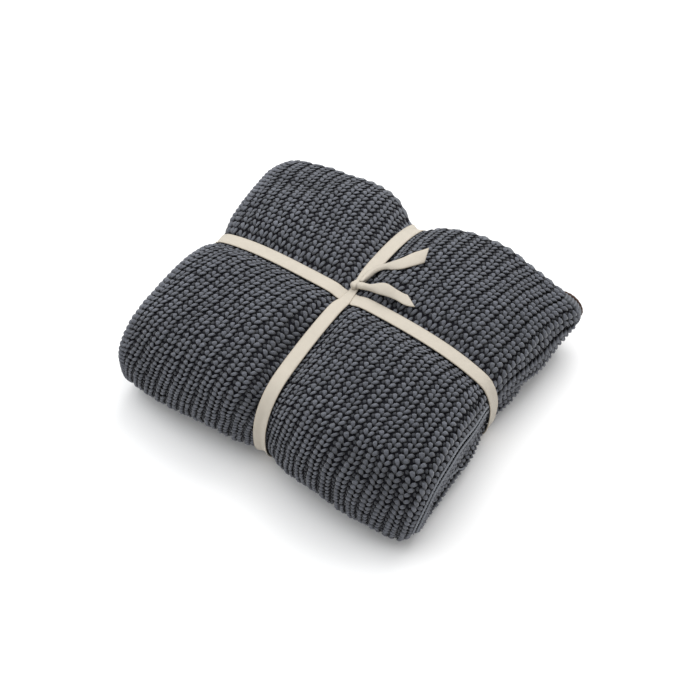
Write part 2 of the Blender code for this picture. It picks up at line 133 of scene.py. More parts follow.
# ---- how the columns stray to the left away from the ribbon, ahead of it and behind it
SWAY_FRONT, SWAY_BACK = (-0.0549, -0.0068), (-0.0233, -0.0164)   # shift across and along at the left
SWAY_NONE, SWAY_POWER = 0.1157, 0.8                 # x where it has died out
SWAY_RIGHT, SWAY_SPAN = (-0.0089, 0.0128), 0.188    # extra shift across, right of the ribbon, and its span
SWAY_REACH, SWAY_MOST = (0.20, 0.15), 1.45          # distances over which it grows, and its limit ahead
ROW_EASE, ROW_PLACES = 0.009, (0.12, 0.27, 0.38)    # rows spread to the second place, then crowd
BUNCH_FROM, BUNCH_LEFT = 0.012, 0.003               # columns that reach the selvage bunch up before it

# ---- soft troughs and ridges pressed into the cloth: ends on the flat cloth, height and half-width
CREASES = (
    ((0.158, 0.215), (0.168, 0.330), -4.0 * MM, 0.013),     # left lobe, down beside the ribbon
    ((0.014, 0.310), (0.050, 0.370), -3.5 * MM, 0.016),     # left lobe, low
    ((0.062, 0.260), (0.056, 0.312), -1.8 * MM, 0.012),     # left lobe, between its two crests
    ((0.034, 0.212), (0.014, 0.290), 2.2 * MM, 0.012),      # left lobe, crest beside the selvage
    ((0.112, 0.210), (0.120, 0.266), 2.0 * MM, 0.016),      # left lobe, inner crest
    ((0.020, 0.055), (0.070, 0.048), -4.0 * MM, 0.012),     # back lobe, across its columns
    ((0.008, 0.122), (0.026, 0.098), -3.0 * MM, 0.010),     # back lobe, at its left notch
    ((0.056, 0.100), (0.076, 0.088), 2.2 * MM, 0.014),      # back lobe, crest
    ((0.095, 0.034), (0.130, 0.026), 1.8 * MM, 0.012),      # back lobe, crest behind
    ((0.276, 0.086), (0.318, 0.080), 2.2 * MM, 0.016),      # right lobe, crest
    ((0.256, 0.020), (0.300, 0.018), -2.2 * MM, 0.012),     # right lobe, behind that crest
    ((0.274, 0.314), (0.345, 0.322), -4.0 * MM, 0.022),     # front lobe, low
    ((0.344, 0.165), (0.350, 0.245), 2.0 * MM, 0.014),      # front lobe, along its right side
)
CREASE_FADE = (0.25, 0.35)   # how far a crease runs on past its ends, and fades, as shares of its length
CREASE_PAINTED_SHADING = 50.0          # painted shading: how fast the knit's tone falls with a crease's depth and rises with a ridge's height, per metre

# ---- where the cloth stands out past its plain form: place on the cloth, reach, and shift in x, y and z
FLARES = (
    ((0.362, 0.0), (0.020, 0.026), (11.1 * MM, 1.6 * MM, 1.0 * MM)),     # the hem's right corner
    ((0.118, 0.0), (0.044, 0.060), (0.0, 4.6 * MM, 3.6 * MM)),           # back lobe's hem beside the ribbon
    ((0.280, 0.0), (0.056, 0.060), (0.0, 5.6 * MM, 4.2 * MM)),           # right lobe's hem
    ((0.000, 0.042), (0.030, 0.026), (-3.6 * MM, 0.0, 1.6 * MM)),        # back lobe's left side
    ((0.388, 0.062), (0.026, 0.044), (4.4 * MM, 0.0, -3.4 * MM)),        # right side below the corner
    ((0.370, 0.898), (0.030, 0.026), (3.6 * MM, 0.0, 0.0)),              # right side, middle layer
    ((0.370, 0.992), (0.030, 0.028), (3.6 * MM, 0.0, 0.0)),              # the same, ahead of the ribbon
    ((0.295, 0.375), (0.060, 0.045), (0.0, -4.8 * MM, 0.0)),             # front lobe, low
    ((0.386, 0.340), (0.022, 0.040), (4.0 * MM, -1.5 * MM, 0.0)),        # front lobe, right corner
    ((0.035, 0.375), (0.034, 0.045), (-1.6 * MM, -4.4 * MM, 0.0)),       # left lobe, low
)
CORNER_FROM, CORNER_TO = 0.338, 0.398       # the stretch of hem that shows its fine ridges
CORNER_FADE = 0.010                         # the distance over which they fade at both ends
CORNER_BARE = (0.006, 0.010)                # the stitches leave room: inset from both ends, and depth
CORNER_RIDGE, RIDGE_HIGH = 0.0027, 0.55 * MM    # from one ridge to the next, and its height
BAND_PLAIN = (0.8 * MM, 3.2 * MM, -1.1 * MM, 2.9 * MM)   # the hem's place, half-width, lift, half-height
BAND_CORNER = (4.4 * MM, 6.0 * MM, 0.2 * MM, 3.4 * MM)   # the same at the corner
BAND_SIDES, BAND_POWER = 20, 3.0            # points round its section, and that superellipse's power
BAND_FIRST, BAND_STEP, RIDGE_STEP = 0.001, 0.003, 0.0005   # its first ring, and its mesh steps
HEM_SWELL = 1.1 * MM                        # how much the hem swells at a column's end
HEM_TONE, SWELL_PAINTED_LIGHT = 0.95, 150.0         # its tone, and how fast painted light makes it grow with the swell, per metre
RIDGE_TONE, RIDGE_PAINTED_SHADING = 0.10, 0.45        # what the ridged corner adds to it: a lighter tone, then painted light on the ridges' crests and painted shade in their troughs
SELVAGE_DRAWN = 5.0 * MM                    # how far the ribbon draws the outer selvage in
REVERSE_TONE = 6.0                          # how much paler the cloth's reverse is than its face, whose dark colour is painted shade for the recesses

# ---- camera
VIEW_TURN, VIEW_HEIGHT, VIEW_DISTANCE = 34.604, 54.429, 1.674
VIEW_TARGET = (0.00924, -0.00643, 0.04)
VIEW_LENS = 83.77

# ---- light: name, place as distances back, right and up, size, power and colour
LIGHTS = (
    ("back_soft_box", (0.95, 0.55, 1.6), 1.4, 17, (1.0, 1.0, 1.0)),
    ("top_soft_box", (0.3, 0.0, 2.2), 2.6, 34, (1.0, 1.0, 1.0)),
    ("side_soft_box", (0.3, -1.3, 1.6), 1.2, 8, (0.93, 0.97, 1.0)),
)
LIGHT_AIM, SURROUND = (0, 0, 0.05), 0.62


def superellipse(angle, power):
    """Cosine and sine raised to 2/power, keeping their signs."""
    c, s = np.cos(angle), np.sin(angle)
    return np.sign(c) * np.abs(c) ** (2 / power), np.sign(s) * np.abs(s) ** (2 / power)


def smooth(t):
    """Smooth step from 0 to 1."""
    t = np.clip(t, 0.0, 1.0)
    return t * t * (3 - 2 * t)


def bell(distance, reach):
    """1 on a groove's flat floor; outside it, 1 over (1 plus a power of the distance) squared."""
    away = np.maximum(np.abs(distance) - GROOVE_FLAT, 0) / reach
    return 1 / (1 + away ** GROOVE_POWER) ** 2


def lobe_value(x, y, column):
    """The lobes' table value at x, y, blended across the two grooves."""
    left, front, right, back = (LOBES[name][column] for name in ("left", "front", "right", "back"))
    east = 0.5 * (1 + np.tanh((x - ALONG_X) / LOBE_BLEND))
    north = 0.5 * (1 + np.tanh((y - ACROSS_Y) / LOBE_BLEND))
    south_row = (1 - east) * left + east * front
    north_row = (1 - east) * back + east * right
    return (1 - north) * south_row + north * north_row


def shape(points):
    """Carry points of the plain folded packet into the tied one.

    Height is scaled by the lobes' crowns less the grooves, levels sag along the +X side,
    and the plan is drawn in at the corners, beside the ribbon and along the sides.
    """
    x, y, z = points[..., 0], points[..., 1], points[..., 2]
    u, v, w = x / HALF_WIDTH, y / HALF_DEPTH, z / HEIGHT
    from_across, from_along = np.abs(y - ACROSS_Y), np.abs(x - ALONG_X)
    dips = (ACROSS_DIP * bell(from_across, ACROSS_REACH)) ** 4
    dips = (dips + (ALONG_DIP * bell(from_along, ALONG_REACH)) ** 4) ** 0.25
    crown_x = np.where(u > 0, CROWN_X[1], CROWN_X[0]) * np.abs(u) ** CROWN_POWERS[0]
    crown_y = np.where(v > 0, CROWN_Y[1], CROWN_Y[0]) * np.abs(v) ** CROWN_POWERS[1]
    tall = lobe_value(x, y, 0) * (1 - crown_x) * (1 - crown_y) * (1 - dips)
    side, back = np.clip(u, 0, 1.02), smooth((y - BACK_FROM) / BACK_OVER)
    level = w - (DROOP[0] + DROOP[1] * back) * side ** 5 * (w - w ** 4)
    lifted = 1 - smooth(from_across / UNDERSIDE_REACH) * smooth(from_along / UNDERSIDE_REACH)
    corner = lobe_value(x, y, 1)
    pinch_x = PINCH_SIDES * np.exp(-(from_across / PINCH_REACH) ** 1.3) * u ** 2
    pinch_y = PINCH_ENDS * np.exp(-(from_along / PINCH_REACH) ** 1.3) * v ** 2
    tucked = ((TUCK[0] + TUCK[1] * back) * (1 - w) ** 2 - OVERHANG * back) * side ** 3
    out_x = x * (1 - pinch_x) * (1 - corner * v ** 4) + WAIST * (1 - v * v) * u + SKEW * y - tucked
    out_y = y * (1 - pinch_y) * (1 - corner * u ** 4)
    out_z = HEIGHT * level * tall + UNDERSIDE_LIFT * lifted * (1 - w)
    return np.stack([out_x + CENTRE[0], out_y + CENTRE[1], out_z], axis=-1)


# ------------------------------------------------------------------ the two folds

def run(first, last, step=0.004):
    """Evenly spaced numbers from first to last, about step apart."""
    return np.linspace(first, last, max(2, int(abs(last - first) / step) + 1))


def distances(line):
    """Distances along a line from its first point."""
    return np.concatenate([[0], np.cumsum(np.linalg.norm(np.diff(line, axis=0), axis=1))])


def without_doubles(rows):
    """Rows whose first two numbers differ from those of the row before."""
    steps = np.linalg.norm(np.diff(rows[:, :2], axis=0), axis=1)
    return rows[np.concatenate([[True], steps > SAME])]


def across_table():
    """The four plies' middle line in a layer's section.

    Straight stretches for the plies, superellipse arcs for the three folds. Returns rows of
    distance, x, offset from the layer's middle, and the line's normal in x and offset, with
    distance measured along the line that lies ROUND_LIFT off it. Both ends run on straight.
    """
    outer = superellipse(np.linspace(pi / 2, -pi / 2, 61), FOLD_POWER)
    middle = superellipse(np.linspace(-pi / 2, -1.5 * pi, 41), 2.0)
    inner = superellipse(np.linspace(-pi / 2, pi / 2, 41), 2.0)
    first = run(-LEFT_EDGE - EDGE_MARGIN, FLAT_X)
    back, inside = run(FLAT_X, FOLD_X), run(FOLD_X, INNER_X)
    last = run(INNER_X, LAST_X - EDGE_MARGIN)
    x = np.concatenate([first, FLAT_X + (SIDE_TURN - PLY / 2) * outer[0], back,
                        FOLD_X + FOLD_REACH * middle[0], inside, INNER_X + PLY / 2 * inner[0], last])
    offset = np.concatenate([np.full(first.size, 1.5 * PLY), 1.5 * PLY * outer[1],
                             np.full(back.size, -1.5 * PLY), -PLY + PLY / 2 * middle[1],
                             np.full(inside.size, -0.5 * PLY), PLY / 2 * inner[1],
                             np.full(last.size, 0.5 * PLY)])
    line = without_doubles(np.stack([x, offset], axis=1))
    along = np.gradient(line, axis=0)
    normal = np.stack([-along[:, 1], along[:, 0]], axis=1)
    normal /= np.linalg.norm(normal, axis=1, keepdims=True)
    return np.column_stack([distances(line + ROUND_LIFT * normal) - EDGE_MARGIN, line, normal])


def along_table():
    """The letter fold's path: rows of distance, outer y, outer z, inner y, inner z, hem inset.

    Top layer from the hem to the front, round the front turn, bottom layer to the back, round
    the back turn, and the middle layer to the front. Distance follows the outer line.
    """
    turn_y, back_y, mid_z = -HALF_DEPTH + FRONT_TURN, HALF_DEPTH - BACK_TURN, LAYER + GAP / 2
    rows = [(y, HEIGHT, y, HEIGHT - LAYER) for y in run(HEM_Y + EDGE_MARGIN, turn_y)]
    for angle in np.linspace(pi / 2, 1.5 * pi, 91):
        c, s = superellipse(angle, TURN_POWER)
        rows.append((turn_y + FRONT_TURN * c, HEIGHT / 2 * (1 + s),
                     turn_y + (FRONT_TURN - TURN_INNER * LAYER) * c,
                     HEIGHT / 2 + (HEIGHT / 2 - LAYER) * s))
    rows += [(y, 0.0, y, LAYER) for y in run(turn_y, back_y)]
    for angle in np.linspace(-pi / 2, pi / 2, 61):
        c, s = superellipse(angle, TURN_POWER)
        rows.append((back_y + BACK_TURN * c, mid_z * (1 + s), back_y + 2 * GAP * c, mid_z + GAP / 2 * s))
    end_y = turn_y - MIDDLE_END
    rows += [(y, 2 * LAYER + GAP, y, LAYER + GAP) for y in run(back_y, end_y)]
    rows = without_doubles(np.array(rows))
    distance = distances(rows[:, :2]) - EDGE_MARGIN
    inset = np.interp(distance, *np.array(HEM_CORNER).T)
    return np.column_stack([distance, rows, inset])


ACROSS, ALONG = across_table(), along_table()
CLOTH_WIDTH = ACROSS[-1, 0] - EDGE_MARGIN
CLOTH_LENGTH = ALONG[-1, 0]
FLAT_PLY = FLAT_X + LEFT_EDGE                  # length of the outer ply before its fold
RIBBON_AT = HEM_Y - ACROSS_Y                   # where the ribbon crosses the outer ply
TOP_END = HEM_Y + HALF_DEPTH - FRONT_TURN      # where the front turn starts
FRONT_END = ALONG[np.argmax(ALONG[:, 2] < SAME), 0]              # where it ends, under the packet
LIES_UNDER = FRONT_END + 2 * HALF_DEPTH - BACK_TURN - FRONT_TURN   # where the back turn starts
BACK_END = ALONG[np.argmax(ALONG[:, 0] > LIES_UNDER + BACK_STRETCH), 0]


def look_up(table, column, at):
    """A table's column at the distances given, by straight interpolation."""
    return np.interp(at, table[:, 0], table[:, column])


def waves(across, along, rows):
    """A sum of sine waves over the cloth."""
    return sum(size * np.sin(2 * pi * (across / wide + along / long + phase))
               for size, wide, long, phase in rows)


def swayed(across, along):
    """Where a stitch really sits: its place on a straight grid, shifted by the sway.

    The shift grows in a straight line away from the ribbon, dies out towards the right as a
    power of the distance, and fades again along the underside.
    """
    x = across - LEFT_EDGE
    ahead = np.clip((along - RIBBON_AT) / SWAY_REACH[0], 0, SWAY_MOST)
    ahead = ahead * (1 - smooth((along - FRONT_END) / (LIES_UNDER - FRONT_END)))
    behind = np.clip((RIBBON_AT - along) / SWAY_REACH[1], 0, 1)
    left = np.clip((SWAY_NONE - x) / (SWAY_NONE + LEFT_EDGE), 0, 1) ** SWAY_POWER
    right = np.sin(pi * np.clip((x - ALONG_X) / SWAY_SPAN, 0, 1))
    to_side = left * (SWAY_FRONT[0] * ahead + SWAY_BACK[0] * behind)
    to_side = to_side + right * (SWAY_RIGHT[0] * ahead + SWAY_RIGHT[1] * behind)
    forward = left * (SWAY_FRONT[1] * ahead + SWAY_BACK[1] * behind)
    start, crest, end = ROW_PLACES
    ease = ROW_EASE * smooth((along - start) / (crest - start))
    ease = ease * (1 - smooth((along - crest) / (end - crest)))
    across = across + to_side
    reach = BUNCH_FROM - BUNCH_LEFT
    bunched = BUNCH_LEFT + reach * np.exp(np.minimum(across - BUNCH_FROM, 0) / reach)
    return np.where(across < BUNCH_FROM, bunched, across), along + forward + ease


def pressed(across, along):
    """The creases' height: each is a Gaussian ridge or trough about a straight line."""
    past, fade = CREASE_FADE
    height = 0 * across
    for (u0, v0), (u1, v1), rise, wide in CREASES:
        length = np.hypot(u1 - u0, v1 - v0)
        share = ((across - u0) * (u1 - u0) + (along - v0) * (v1 - v0)) / length ** 2
        off = ((across - u0) * (v1 - v0) - (along - v0) * (u1 - u0)) / length
        ends = smooth((share + past) / fade) * smooth((1 + past - share) / fade)
        height = height + rise * ends * np.exp(-(off / wide) ** 2)
    return height


def folded(across, along, lift):
    """Carry points of the flat cloth into the tied packet.

    The distance across gives the place in a layer's section, lift moves it along that
    section's normal, and the distance along gives the layer's outer and inner faces, between
    which the section lies. The cloth first drifts and puffs a little, less near the ribbon,
    and here and there it is drawn out by a Gaussian.
    """
    across = across + waves(across, along, DRIFT_ACROSS)
    along = along + waves(across, along, DRIFT_ALONG)
    x = look_up(ACROSS, 1, across) + lift * look_up(ACROSS, 3, across)
    offset = look_up(ACROSS, 2, across) + lift * look_up(ACROSS, 4, across)
    outer_y, outer_z = look_up(ALONG, 1, along), look_up(ALONG, 2, along)
    inner_y, inner_z = look_up(ALONG, 3, along), look_up(ALONG, 4, along)
    near = np.maximum(bell(outer_y - ACROSS_Y, 0.02), bell(x - ALONG_X, 0.02))
    share = 0.5 + (offset + waves(across, along, PUFF) * (1 - near) + pressed(across, along)) / LAYER
    y = inner_y + (outer_y - inner_y) * share
    z = inner_z + (outer_z - inner_z) * share
    x = x * (1 - look_up(ALONG, 5, along) / HALF_WIDTH)
    carried = shape(np.stack([x, y, z], axis=-1))
    for (u, v), (wide, long), shift in FLARES:
        near = np.exp(-((across - u) / wide) ** 2 - ((along - v) / long) ** 2)
        carried = carried + near[..., None] * np.array(shift)
    return carried


# ------------------------------------------------------------------ meshes

NO_TRIANGLES = np.zeros((0, 3))


def placed(name, data):
    """A new object of the given data, in the scene."""
    thing = bpy.data.objects.new(name, data)
    bpy.context.scene.collection.objects.link(thing)
    return thing


def make_piece(name, points, quads, triangles, corners_uv, tone, material, slot):
    """A smooth mesh object from arrays, with a UV map and a tone for every point."""
    mesh = bpy.data.meshes.new(name)
    quads = np.asarray(quads, np.int32).reshape(-1, 4)
    triangles = np.asarray(triangles, np.int32).reshape(-1, 3)
    points = np.asarray(points, np.float32).reshape(-1, 3)
    mesh.vertices.add(len(points))
    mesh.vertices.foreach_set("co", points.ravel())
    corners = np.concatenate([quads.ravel(), triangles.ravel()])
    mesh.loops.add(len(corners))
    mesh.loops.foreach_set("vertex_index", corners)
    starts = np.concatenate([np.arange(len(quads)) * 4,
                             len(quads) * 4 + np.arange(len(triangles)) * 3]).astype(np.int32)
    mesh.polygons.add(len(starts))
    mesh.polygons.foreach_set("loop_start", starts)
    mesh.update(calc_edges=True)
    mesh.validate()
    uv = mesh.uv_layers.new(name="UVMap")
    uv.data.foreach_set("uv", np.asarray(corners_uv, np.float32).ravel())
    # the tone carries random unevenness and, on the knit, painted light and shade
    shade = mesh.attributes.new("tone", "FLOAT", "POINT")
    shade.data.foreach_set("value", np.broadcast_to(tone, len(points)).astype(np.float32))
    mesh.shade_smooth()
    mesh.materials.append(material)
    piece = placed(name, mesh)
    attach(piece, "root")
    return piece


def tube_faces(rings, sides, closed_path=False):
    """Quads of a tube of rings, in the order that faces outwards on the folded cloth."""
    i, j = np.meshgrid(np.arange(rings if closed_path else rings - 1), np.arange(sides), indexing="ij")
    k, n = (j + 1) % sides, (i + 1) % rings
    return np.stack([i * sides + j, n * sides + j, n * sides + k, i * sides + k], axis=-1).reshape(-1, 4)


def tip_faces(rings, sides):
    """Triangles that close a tube at two tips, whose numbers follow those of its rings."""
    j = np.arange(sides)
    k, last, tip = (j + 1) % sides, (rings - 1) * sides, np.full(sides, rings * sides)
    return np.concatenate([np.stack([tip, j, k], axis=1), np.stack([tip + 1, last + k, last + j], axis=1)])


def ring_angles(sides):
    """Evenly spaced angles round a ring."""
    return np.linspace(0, 2 * pi, sides, endpoint=False)


RING_ENDS, TIP_PAST = (0.06, 0.94), 0.03   # a spindle's outer rings, and its tips past its ends, as shares
SWELL_FROM, SWELL_SPAN, ARCH_POWER = 0.10, 0.80, 0.8


def spindles(start, end, wide, high, low, top, sides, rings, bow=0.0, fullest=0.5, swelling=0.5, tilt=0.0):
    """Plump pieces of yarn on the flat cloth, one for each start and end.

    The centre line runs from start to end, bows sideways as a sine, arches from lift low to
    lift top as a power of a sine, and falls by the tilt. Round it lies an oval ring, wide by
    high, that swells as a power of a sine, whose crest lies at the fullest share of the length.
    Returns points (piece, point, 3), quads, triangles, corner UVs and each point's height as a
    share of its piece's.
    """
    wide, high, low, top, bow = (value + np.zeros(len(start)) for value in (wide, high, low, top, bow))
    share = np.linspace(*RING_ENDS, rings)
    bent = share ** (np.log(0.5) / np.log(fullest))
    swell = np.sin(pi * (SWELL_FROM + SWELL_SPAN * bent)) ** swelling
    arch = np.sin(pi * bent) ** ARCH_POWER
    along = end - start
    length = np.linalg.norm(along, axis=1, keepdims=True)
    across = np.stack([-along[:, 1], along[:, 0]], axis=1) / length
    centre = start[:, None] + along[:, None] * share[:, None]
    centre = centre + across[:, None] * (bow[:, None] * np.sin(pi * share))[..., None]
    lift = low[:, None] + (top - low)[:, None] * arch + tilt * (0.5 - share)
    turn = 2 * pi * (np.arange(sides) + 0.5) / sides
    out = (wide[:, None] * swell)[..., None] * np.cos(turn)
    up = (high[:, None] * swell)[..., None] * np.sin(turn)
    ring = np.concatenate([centre[:, :, None] + across[:, None, None] * out[..., None],
                           (lift[..., None] + up)[..., None]], axis=-1)
    tips = np.stack([start - TIP_PAST * along, end + TIP_PAST * along], axis=1)
    tips = np.concatenate([tips, np.stack([low, low], axis=1)[..., None]], axis=-1)
    points = np.concatenate([ring.reshape(len(start), -1, 3), tips], axis=1)
    raised = (points[..., 2] - low[:, None]) / (top + high - low)[:, None]

    i, j = np.meshgrid(np.arange(rings - 1), np.arange(sides), indexing="ij")
    a, b, s, t = j / sides, (j + 1) / sides, share[i], share[i + 1]
    quad_uv = np.stack([a, s, a, t, b, t, b, s], axis=-1).reshape(-1, 4, 2)
    a, b, none = a[0], b[0], np.zeros(sides)
    mid, s, t = (np.arange(sides) + 0.5) / sides, none + share[0], none + share[-1]
    tip_uv = np.concatenate([np.stack([mid, none, a, s, b, s], axis=-1),
                             np.stack([mid, none + 1, b, t, a, t], axis=-1)]).reshape(-1, 3, 2)
    return points, tube_faces(rings, sides), tip_faces(rings, sides), quad_uv, tip_uv, raised


def joined(groups):
    """Fold arrays of like pieces and join them into one mesh's points, faces, UVs and tones.

    Each piece's UVs are nudged at random. Its tone carries painted light and shade: it falls in a
    crease and rises on a ridge in proportion to the crease's height, and falls towards the piece's
    foot as a smooth step, painted shade where the yarn meets the cloth.
    """
    points, quads, triangles, quad_uv, tri_uv, tones, start = [], [], [], [], [], [], 0
    for (flat, faces4, faces3, uv4, uv3, raised), tone in groups:
        count, size = flat.shape[:2]
        shift = start + np.arange(count)[:, None, None] * size
        points.append(folded(flat[..., 0], flat[..., 1], flat[..., 2]).reshape(-1, 3))
        quads.append((faces4[None] + shift).reshape(-1, 4))
        triangles.append((faces3[None] + shift).reshape(-1, 3))
        nudge = rng.uniform(0, 1, (count, 1, 1, 1))
        quad_uv.append((uv4[None] + nudge).reshape(-1, 4, 2))
        tri_uv.append((uv3[None] + nudge).reshape(-1, 3, 2))
        # painted shade in a crease's hollow and painted light on its ridge, then painted shade towards the foot
        tone = tone[:, None] * (1 + CREASE_PAINTED_SHADING * pressed(flat[..., 0], flat[..., 1]))
        foot_shade = FOOT_PAINTED_SHADE + (1 - FOOT_PAINTED_SHADE) * smooth((raised - CLEAR_FROM) / CLEAR_SPAN)
        tones.append((tone * foot_shade).ravel())
        start += count * size
    uv = np.concatenate([np.concatenate(quad_uv).reshape(-1, 2), np.concatenate(tri_uv).reshape(-1, 2)])
    return (np.concatenate(points), np.concatenate(quads), np.concatenate(triangles), uv,
            np.concatenate(tones))


# ------------------------------------------------------------------ materials

def link_up(tree, *pairs):
    """Join outputs to inputs."""
    for source, target in pairs:
        tree.links.new(source, target)


def set_inputs(node, values):
    """Set a node's inputs to the named values."""
    for name, value in values.items():
        node.inputs[name].default_value = value


def math_node(tree, operation, first, second=None, clamp=False):
    """A Math node on sockets or numbers; returns its output."""
    node = tree.nodes.new("ShaderNodeMath")
    node.operation = operation
    node.use_clamp = clamp
    for slot_number, value in enumerate((first, second)):
        if value is None:
            continue
        if isinstance(value, (int, float)):
            node.inputs[slot_number].default_value = value
        else:
            tree.links.new(value, node.inputs[slot_number])
    return node.outputs[0]


TWIST_ROUND, TWIST_POWER = 3.0, 0.5             # how steeply the plies wind, and how sharp they are
TWIST_HIGH, FIBRE_HIGH = 0.7, 0.5               # the yarn's relief: shares of the plies and the fibres
TWIST_SHADE, FIBRE_SHADE, YARN_SHADE = 0.18, 0.80, 0.44   # its shade: the plies' share, painted shade in the grooves between them, the fibres' share, and the shade's floor
WEAVE_HIGH, PICKS_HIGH = 0.35, 0.25             # the tape's relief: shares of the weave and the picks
WEAVE_SHADE, BLOTCH_SHADE, TAPE_SHADE = 0.02, 0.10, 0.94   # its shade: weave, blotches, and the floor
UV_STEP = 0.3                                   # how far a trim's pattern moves on from ring to ring
EDGE_FROM, EDGE_SLOPE = 0.44, 16.0              # where the tape's edge colour starts, and how fast it grows


def pattern_group(name, settings, results, detail):
    """A shader node group with its sockets, and with a fine noise; the UV feeds its pattern.

    Returns the group, its inputs and outputs, the UV's two parts and the noise.
    """
    group = bpy.data.node_groups.new(name, "ShaderNodeTree")
    for label, value in settings.items():
        made = group.interface.new_socket(name=label, in_out="INPUT", socket_type="NodeSocketFloat")
        made.default_value = value
    for label in results:
        group.interface.new_socket(name=label, in_out="OUTPUT", socket_type="NodeSocketFloat")
    nodes = group.nodes
    given, made = nodes.new("NodeGroupInput"), nodes.new("NodeGroupOutput")
    uv, apart = nodes.new("ShaderNodeUVMap"), nodes.new("ShaderNodeSeparateXYZ")
    uv.uv_map = "UVMap"
    place, noise = nodes.new("ShaderNodeTexCoord"), nodes.new("ShaderNodeTexNoise")
    noise.inputs["Detail"].default_value = detail
    link_up(group, (uv.outputs["UV"], apart.inputs[0]), (place.outputs["Object"], noise.inputs["Vector"]))
    return group, given.outputs, made.inputs, apart.outputs["X"], apart.outputs["Y"], noise


def weighted(calc, first, first_share, second, second_share):
    """Two values, each times its share, added up."""
    return calc("ADD", calc("MULTIPLY", first, first_share), calc("MULTIPLY", second, second_share))


def yarn_twist_group():
    """Shader group: the plies twisted along a piece of yarn, from its UV, with fine fibres.

    The twist is a power of the size of a sine of pi times (the place along times Turns, plus
    the place round times TWIST_ROUND). The fibres are a fine noise. Shade darkens the twist's grooves
    as painted shade between the plies.
    """
    group, given, made, around, along, fibre = pattern_group(
        "yarn_twist", {"Turns": 3.0, "Fibre Scale": 900.0}, ("Height", "Shade"), detail=3.0)
    calc = partial(math_node, group)
    turned = calc("ADD", calc("MULTIPLY", along, given["Turns"]), calc("MULTIPLY", around, TWIST_ROUND))
    twist = calc("POWER", calc("ABSOLUTE", calc("SINE", calc("MULTIPLY", turned, pi))), TWIST_POWER)
    height = weighted(calc, twist, TWIST_HIGH, fibre.outputs["Fac"], FIBRE_HIGH)
    shade = calc("ADD", weighted(calc, twist, TWIST_SHADE, fibre.outputs["Fac"], FIBRE_SHADE), YARN_SHADE)
    link_up(group, (given["Fibre Scale"], fibre.inputs["Scale"]),
            (height, made["Height"]), (shade, made["Shade"]))
    return group


def tape_weave_group():
    """Shader group: fine crosswise picks and lengthwise ends of a woven tape, from its UV.

    Ends and picks are sines of the place across and along, and the weave is their product. A
    noise blotches the shade. Edge grows in a straight line near both edges.
    """
    group, given, made, across, along, blotch = pattern_group(
        "tape_weave", {"Ends": 34.0, "Picks": 26.0}, ("Height", "Shade", "Edge"), detail=4.0)
    blotch.inputs["Scale"].default_value = 120.0
    calc = partial(math_node, group)
    ends, picks = (calc("SINE", calc("MULTIPLY", calc("MULTIPLY", place, given[name]), 2 * pi))
                   for place, name in ((across, "Ends"), (along, "Picks")))
    weave = calc("MULTIPLY", ends, picks)
    height = weighted(calc, weave, WEAVE_HIGH, picks, PICKS_HIGH)
    shade = calc("ADD", weighted(calc, weave, WEAVE_SHADE, blotch.outputs["Fac"], BLOTCH_SHADE), TAPE_SHADE)
    middle = calc("ABSOLUTE", calc("SUBTRACT", across, 0.5))
    edge = calc("MULTIPLY", calc("SUBTRACT", middle, EDGE_FROM, clamp=True), EDGE_SLOPE, clamp=True)
    link_up(group, (height, made["Height"]), (shade, made["Shade"]), (edge, made["Edge"]))
    return group


def start_material(name, roughness, sheen, specular):
    """An empty material with its Principled shader, constants set on the shader."""
    material = bpy.data.materials.new(name)
    material.use_nodes = True
    shader = material.node_tree.nodes["Principled BSDF"]
    set_inputs(shader, {"Roughness": roughness, "Sheen Weight": sheen, "Sheen Roughness": 0.5,
                        "Specular IOR Level": specular})
    return material, material.node_tree, shader


def scaled_colour(tree, colour, factor):
    """A colour, or an output, times a factor that changes over the surface; returns the output."""
    node = tree.nodes.new("ShaderNodeVectorMath")
    node.operation = "SCALE"
    if isinstance(colour, tuple):
        node.inputs[0].default_value = colour
    else:
        tree.links.new(colour, node.inputs[0])
    tree.links.new(factor, node.inputs["Scale"])
    return node.outputs["Vector"]


def bump(tree, height, shader, distance, strength):
    """A Bump node from height to the shader's Normal."""
    node = tree.nodes.new("ShaderNodeBump")
    set_inputs(node, {"Distance": distance, "Strength": strength})
    link_up(tree, (height, node.inputs["Height"]), (node.outputs["Normal"], shader.inputs["Normal"]))


def yarn_material(name, colour, group, turns, sheen=0.20, specular=0.25, distance=0.0005):
    """Matt twisted yarn: the colour times the stitch's tone, which carries painted light and shade, and the
    twist's shade.
    """
    material, tree, shader = start_material(name, roughness=0.92, sheen=sheen, specular=specular)
    twist = tree.nodes.new("ShaderNodeGroup")
    twist.node_tree = group
    twist.inputs["Turns"].default_value = turns
    tone = tree.nodes.new("ShaderNodeAttribute")
    tone.attribute_name = "tone"
    factor = math_node(tree, "MULTIPLY", tone.outputs["Fac"], twist.outputs["Shade"])
    tree.links.new(scaled_colour(tree, colour, factor), shader.inputs["Base Color"])
    bump(tree, twist.outputs["Height"], shader, distance, strength=0.7)
    return material


def tape_material(name, colour, edge_colour, group):
    """Cream cotton tape: weave shade on the colour, a little warmer along both edges."""
    material, tree, shader = start_material(name, roughness=0.80, sheen=0.10, specular=0.30)
    weave = tree.nodes.new("ShaderNodeGroup")
    weave.node_tree = group
    blend = tree.nodes.new("ShaderNodeMix")
    blend.data_type = "RGBA"
    set_inputs(blend, {"A": (*colour, 1), "B": (*edge_colour, 1)})
    shaded = scaled_colour(tree, blend.outputs["Result"], weave.outputs["Shade"])
    link_up(tree, (weave.outputs["Edge"], blend.inputs["Factor"]), (shaded, shader.inputs["Base Color"]))
    bump(tree, weave.outputs["Height"], shader, distance=0.0002, strength=0.6)
    return material


# ------------------------------------------------------------------ the knit

